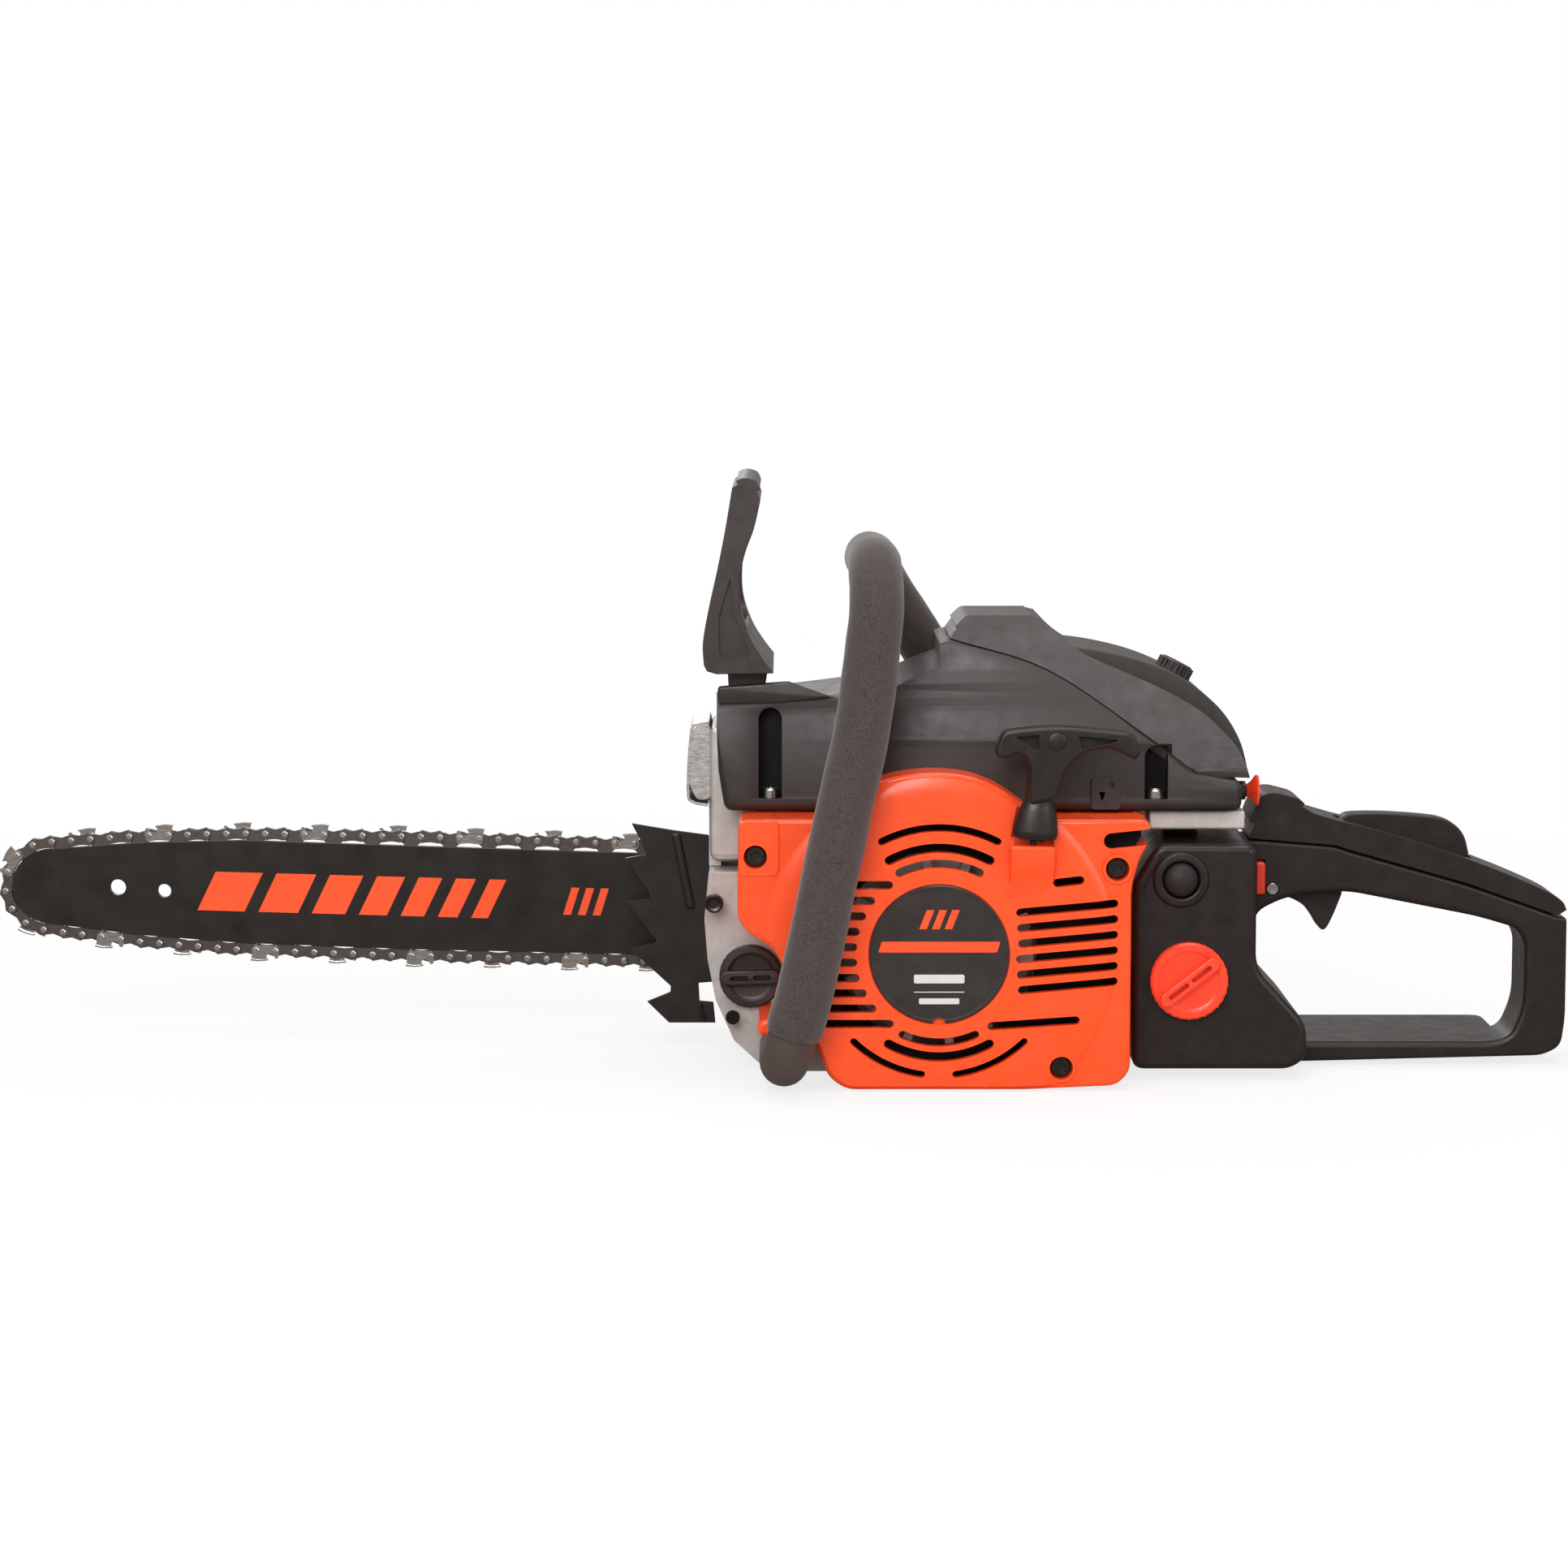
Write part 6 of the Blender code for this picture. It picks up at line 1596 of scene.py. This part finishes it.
    def slot_fittings(self):
        """Channels behind the side slots, laid near-black as painted shade, the screws in them, and
        the tuning plug.
        """
        left = COVER_SIDES[0]
        screws = []
        for index, (x, low, high) in enumerate(((-80.3, 138.6, 182.2), (104.8, 138.2, 164.1))):
            outline = [(x - 8, low - 3), (x + 8, low - 3), (x + 8, high), (x - 8, high)]
            channel = panel(f"slot_channel_{index}", outline, left + 6.6, left + 13)
            carve(
                channel,
                panel(
                    "room",
                    [(x - 5.8, low), (x + 5.8, low), (x + 5.8, high - 1), (x - 5.8, high - 1)],
                    left - 3, left + 12.0,
                ),
            )
            # painted shade: the channel is near-black to stand for the shade in the slot
            fit(soften(channel, 0.4, 2), "hole", "black_plastic", "saw_body")
            head = lathe(
                "screw",
                [(0, 0), (4.2, 0), (4.2, 3.4), (3.5, 4.2), (2.2, 4.2), (2.0, 2.6), (0, 2.6)],
                (x, left + 6.0, low + 0.2), (0, 0, 1), 32,
            )
            screws.append(smooth(head))
        fit(gather("slot_screws", screws), "steel", "bright_steel", "saw_body")
        outline = filleted(
            [
                (73.8, 133.4), (87.4, 133.4), (87.4, 144.4), (84.4, 148.8), (74.6, 148.8),
                (73.8, 147.6),
            ],
            1.6,
        )
        plug = panel("tuning_plug", outline, left - 1.3, left + 1.0)
        carve(plug, drum("hole", (83.2, left - 6, 145.0), ACROSS, 1.6, 12, 24))
        marks = panel(
            "mark", ribbon([(77.4, 142.0), (78.8, 137.6), (80.2, 142.0)], 0.5), left - 1.6, left
        )
        carve(plug, marks, "UNION")
        fit(soften(plug, 0.35, 2), "cover", "black_plastic", "saw_body")

    def filter_cover(self):
        low_edge = curved(
            [
                (6.4, 214.2), (53.1, 199.6), (100.0, 168.6), (123.4, 151.5), (134.0, 148.4),
                (150.6, 147.6),
            ],
            5,
        )
        high_edge = curved(
            [
                (149.4, 152.0), (144.6, 162.0), (137.1, 170.6), (128.5, 178.4), (117.6, 185.4),
                (104.3, 192.2), (84.9, 200.6), (71.6, 206.6), (60.0, 214.0), (50.5, 223.4),
            ],
            5,
        )
        outline = low_edge + high_edge + filleted(
            [(47.0, 225.0), (14.0, 225.0), (8.4, 219.4)], 2.0, 3
        )
        band = panel("air_filter_cover_finished", outline, -50.0, 46.0)
        soften(band, 3.0, 5, 58)
        carve(band, leaning("sides", 150.0, 226.0, BAND_LEAN, -50.0, 46.0), "INTERSECT")
        dome_edge = curved(
            [
                (60.4, 210.6), (77.6, 208.4), (97.6, 203.6), (116.0, 196.0), (130.0, 186.6),
                (139.6, 176.8), (146.4, 165.2), (149.8, 154.0), (150.6, 147.8),
            ],
            6,
        )
        dome = panel(
            "dome", dome_edge + [(128.0, 151.0), (100.0, 172.0), (54.0, 202.5)], -40.4, 36.4
        )
        soften(dome, 11.0, 7, 50)
        carve(band, dome, "UNION")
        room = [
            (58.0, 190.0), (100.0, 150.0), (140.0, 140.0), (143.5, 156.0), (140.5, 164.0),
            (134.5, 174.5), (125.4, 181.6), (115.0, 187.2), (97.0, 194.4), (77.0, 201.6),
            (60.0, 205.8),
        ]
        carve(band, panel("room", room, -35.0, 31.0))
        along = Vector((math.sin(KNOB_TILT), 0, math.cos(KNOB_TILT)))
        base = (JOINT_PLACES["filter_cover_knob_turn"] - ORIGIN) / MM
        seat = base - along * 3.4
        collar = lathe(
            "collar",
            [(0, -7), (12.6, -7), (12.6, 3.2), (11.6, 4.2), (9.4, 4.2), (9.4, 0.6), (0, 0.6)], seat,
            along, 64,
        )
        carve(band, collar, "UNION")
        carve(band, drum("recess", seat + along * 0.4, along, 9.3, 16, 48))
        carve(band, drum("hole", seat - along * 12, along, 5.6, 16, 32))
        soften(band, 0.35, 2, 42, flat=False)
        fit(band, "cover", "black_plastic", "filter_cover", "air_filter_cover")


class CHAINSAW_OT_hand_guard(bpy.types.Operator):
    """Curved front hand guard with its window, side recesses and pivot arms"""

    bl_idname = "chainsaw.hand_guard"
    bl_label = "Hand guard"

    def execute(self, context):
        front = curved(
            [
                (-112.0, 203.0), (-112.4, 214.0), (-109.4, 231.0), (-105.6, 248.0), (-102.0, 266.0),
                (-99.6, 280.0), (-98.4, 287.4),
            ],
            4,
        )
        top = filleted([(-97.6, 290.4), (-93.0, 292.6), (-86.8, 291.2), (-84.6, 285.6)], 2.4, 4)
        back = curved(
            [
                (-85.0, 281.0), (-88.0, 268.0), (-92.0, 257.0), (-94.6, 245.0), (-94.4, 230.0),
                (-90.0, 216.0), (-84.0, 206.0), (-78.6, 199.0),
            ],
            4,
        )
        guard = panel(
            "hand_guard_finished", front + top + back + [(-106.0, 198.6), (-110.5, 200.0)], -61.0,
            61.0,
        )
        soften(guard, 2.6, 4, 55)
        window = panel(
            "window", filleted([(-39, 219), (39, 219), (37, 261), (-37, 261)], 9), -125, -70, "X"
        )
        carve(guard, window)
        for side in (-1, 1):
            rib = panel(
                "rib_room",
                filleted(
                    [(-104.5, 206), (-88.5, 206), (-97.4, 228.0), (-99.0, 246.0), (-105.0, 226)], 4
                ),
                *sorted((side * 61.5, side * 59.0)),
            )
            carve(guard, rib)
        pivot_x, pivot_z = GUARD_PIVOT
        for side in (-1, 1):
            inner, outer = side * 40.5, side * 47.0
            outline = [
                (pivot_x - 9, 203), (pivot_x - 8, pivot_z), (pivot_x - 4, 175), (pivot_x + 4, 175),
                (pivot_x + 8, pivot_z), (pivot_x + 11, 203),
            ]
            carve(
                guard,
                soften(
                    panel("arm", filleted(outline, 5), min(inner, outer), max(inner, outer)), 1.0, 2
                ),
                "UNION",
            )
        carve(guard, drum("bore", (pivot_x, -70, pivot_z), ACROSS, 3.8, 140, 32))
        soften(guard, 0.35, 2, 42)
        fit(guard, "guard", "black_plastic", "guard", "hand_guard")
        return {"FINISHED"}


# ---------------------------------------------------------------- tank and rear handle


GRIP_MIDDLE = 2.0
GRIP_HALF = 19.0


class CHAINSAW_OT_rear_handle(bpy.types.Operator):
    """Fuel tank with the lower grip, foot plate, grip cover, trigger and lockout"""

    bl_idname = "chainsaw.rear_handle"
    bl_label = "Tank and rear handle"

    def execute(self, context):
        self.tank()
        self.grip_cover()
        self.levers()
        return {"FINISHED"}

    def tank(self):
        low, high = GRIP_MIDDLE - GRIP_HALF, GRIP_MIDDLE + GRIP_HALF
        outline = [
            (94.6, 6.6), (171.0, 6.6), (179.0, 12.0), (178.6, 29.0), (156.6, 53.0), (154.0, 60.0),
            (153.8, 116.0), (105.6, 116.4), (99.4, 106.0), (94.6, 98.0),
        ]
        tank = panel("rear_handle_finished", filleted(outline, 6), TANK_FACE, 42.0)
        soften(tank, 3.4, 5, 50)
        loop = [
            (150.0, 3.0), (181.0, 3.0), (300.6, 6.0), (309.6, 10.6), (311.5, 24.2), (311.3, 74.8),
            (306.5, 75.2), (261.0, 91.2), (202.7, 107.8), (197.0, 109.9), (159.6, 113.0),
            (150.0, 113.2),
        ]
        opening = [
            (158.0, 50.0), (175.0, 29.0), (178.0, 12.8), (276.0, 12.8), (285.0, 16.4),
            (290.8, 31.0), (290.8, 62.0), (286.8, 69.4), (267.3, 75.2), (203.3, 87.8),
            (180.0, 86.0), (170.0, 83.4), (157.6, 77.0),
        ]
        handle = panel("loop", filleted(loop, 9), low, high)
        soften(handle, 4.6, 5, 50)
        hole = panel("opening", filleted(opening, 7), low - 5, high + 5)
        carve(handle, hole)
        soften(handle, 3.0, 4, 62)
        carve(tank, handle, "UNION")
        foot = panel(
            "foot", filleted([(177, 12), (285, 12), (285, 70), (177, 70)], 8), 4.2, 12.0, "Z"
        )
        soften(foot, 2.4, 4, 50)
        carve(tank, foot, "UNION")
        carve(
            tank, block("trigger_room", (161.5, GRIP_MIDDLE - 7, 68), (206, GRIP_MIDDLE + 7, 125))
        )
        carve(
            tank,
            panel(
                "lockout_room", [(204, 93), (266, 81.5), (266, 112), (204, 132)], GRIP_MIDDLE - 7,
                GRIP_MIDDLE + 7,
            ),
        )
        carve(tank, block("switch_pocket", (156.9, low - 5, 86.0), (162.4, low + 7, 103.6)))
        carve(tank, drum("pin_way", (TRIGGER_PIN[0], low - 5, TRIGGER_PIN[1]), ACROSS, 3.4, 50, 32))
        carve(tank, drum("primer_seat", (PRIMER[0], TANK_FACE - 5, PRIMER[1]), ACROSS, 9.6, 12, 48))
        carve(
            tank,
            drum("fuel_neck", (FUEL_NECK[0], TANK_FACE - 5, FUEL_NECK[1]), ACROSS, 12.0, 13, 48),
        )
        frame_line = filleted([(99.4, 12.0), (99.4, 96.6), (107.0, 108.6), (107.4, 113.4)], 3)[6:-6]
        carve(tank, panel("step", ribbon(frame_line, 0.8), TANK_FACE - 4, TANK_FACE + 0.7))
        for piece in self.fuel_mark():
            carve(tank, piece, "UNION")
        soften(tank, 0.4, 2, 42)
        fit(tank, "tank", "tank_plastic", "saw_body", "rear_handle")
        pin = lathe(
            "trigger_pin_head", [(0, 0.6), (0.8, 0), (2.6, 0), (3.0, 0.5), (3.0, 3), (0, 3)],
            (TRIGGER_PIN[0], low - 0.6, TRIGGER_PIN[1]), ACROSS, 32,
        )
        fit(smooth(pin), "steel", "bright_steel", "saw_body")

    def fuel_mark(self):
        """A small raised drop and jug over the fuel cap."""
        near, far = TANK_FACE - 0.45, TANK_FACE + 0.5
        jug = [(114.6, 74.2), (122.8, 74.2), (122.8, 80.4), (120.6, 82.2), (114.6, 82.2)]
        ring = panel("jug", filleted(jug, 1), near, far)
        carve(ring, panel("jug_room", inset(jug, 0.9), near - 1, far + 1))
        drop = panel(
            "drop", filleted([(109.0, 76.0), (111.4, 76.0), (110.2, 81.6)], 1.0), near, far
        )
        return ring, drop

    def grip_cover(self):
        low, high = GRIP_MIDDLE - GRIP_HALF, GRIP_MIDDLE + GRIP_HALF
        under = [
            (154.2, 114.0), (159.6, 113.6), (197.0, 110.6), (202.7, 108.6), (261.1, 92.0),
            (306.6, 75.8),
        ]
        over = curved(
            [
                (311.0, 78.6), (308.6, 83.0), (300.9, 87.9), (282.0, 96.2), (261.9, 103.9),
                (240.0, 111.4), (218.7, 117.8), (200.0, 122.4), (186.0, 126.4),
            ],
            4,
        )
        lip = filleted(
            [
                (182.4, 130.6), (178.4, 133.8), (167.0, 136.8), (160.8, 136.0), (156.2, 128.0),
                (154.2, 121.0),
            ],
            4,
        )
        cover = panel("grip_cover_finished", under + over + lip, low, high)
        soften(cover, 4.6, 6, 56)
        carve(
            cover,
            panel(
                "lockout_slot",
                filleted([(198.5, -5.2), (266.5, -5.2), (266.5, 9.2), (198.5, 9.2)], 2.5), 80, 140,
                "Z",
            ),
        )
        carve(
            cover,
            block("trigger_space", (161.5, GRIP_MIDDLE - 7, 100), (199, GRIP_MIDDLE + 7, 120)),
        )
        carve(
            cover,
            drum(
                "lockout_pin", (LOCKOUT_PIN[0], GRIP_MIDDLE - 9, LOCKOUT_PIN[1]), ACROSS, 2.0, 18,
                24,
            ),
            "UNION",
        )
        soften(cover, 0.35, 2, 42)
        fit(cover, "tank", "tank_plastic", "saw_body", "grip_cover")

    def levers(self):
        near, far = GRIP_MIDDLE - 6.3, GRIP_MIDDLE + 6.3
        blade = curved(
            [
                (168.5, 84.6), (176.0, 83.0), (182.7, 79.4), (187.4, 73.8), (190.4, 68.8),
                (192.8, 66.9), (195.2, 68.8), (198.6, 76.0), (201.9, 84.6),
            ],
            5,
        )
        trigger = panel(
            "throttle_trigger_finished",
            [(162.4, 90.0), (163.8, 85.4)] + blade + [
                (202.6, 92.0), (192.0, 96.8), (172.0, 95.8), (164.5, 93.3)
            ],
            near, far,
        )
        carve(trigger, drum("bore", (TRIGGER_PIN[0], -20, TRIGGER_PIN[1]), ACROSS, 3.3, 40, 32))
        fit(soften(trigger, 1.3, 4, 45), "tank", "tank_plastic", "trigger", "throttle_trigger")
        back = curved(
            [
                (200.8, 121.0), (203.6, 124.2), (212.0, 125.0), (226.0, 124.8), (242.0, 123.6),
                (251.0, 122.2), (257.6, 119.0), (262.0, 113.6), (264.4, 105.2),
            ],
            5,
        )
        lever = panel(
            "throttle_lockout_finished",
            back + [
                (262.5, 101.2), (240.0, 106.2), (212.0, 108.2), (205.0, 106.8), (201.0, 108.7),
                (200.2, 113.0),
            ],
            near, far,
        )
        carve(lever, drum("bore", (LOCKOUT_PIN[0], -20, LOCKOUT_PIN[1]), ACROSS, 2.4, 40, 32))
        fit(soften(lever, 1.0, 3, 45), "tank", "tank_plastic", "lockout", "throttle_lockout")


OPERATORS = (
    CHAINSAW_OT_stage,
    CHAINSAW_OT_shells,
    CHAINSAW_OT_chain,
    CHAINSAW_OT_bar_trim,
    CHAINSAW_OT_starter_cover,
    CHAINSAW_OT_badge,
    CHAINSAW_OT_pull_grip,
    CHAINSAW_OT_front_handle,
    CHAINSAW_OT_caps,
    CHAINSAW_OT_knobs,
    CHAINSAW_OT_engine_covers,
    CHAINSAW_OT_hand_guard,
    CHAINSAW_OT_rear_handle,
)


class CHAINSAW_PT_panel(bpy.types.Panel):
    """Lists the build steps"""

    bl_idname = "CHAINSAW_PT_panel"
    bl_label = "Chainsaw"
    bl_space_type = "VIEW_3D"
    bl_region_type = "UI"
    bl_category = "Chainsaw"

    def draw(self, context):
        layout = self.layout
        for name in ChainsawSettings.__annotations__:
            layout.prop(context.scene.chainsaw, name)
        for operator in OPERATORS:
            layout.operator(operator.bl_idname)


CLASSES = (ChainsawSettings, *OPERATORS, CHAINSAW_PT_panel)


def register():
    for cls in CLASSES:
        bpy.utils.register_class(cls)
    bpy.types.Scene.chainsaw = bpy.props.PointerProperty(type=ChainsawSettings)


def unregister():
    del bpy.types.Scene.chainsaw
    for cls in reversed(CLASSES):
        bpy.utils.unregister_class(cls)


def main():
    register()
    make_materials(settings())
    for operator in OPERATORS:
        group, step = operator.bl_idname.split(".")
        getattr(getattr(bpy.ops, group), step)()


if __name__ == "__main__":
    main()
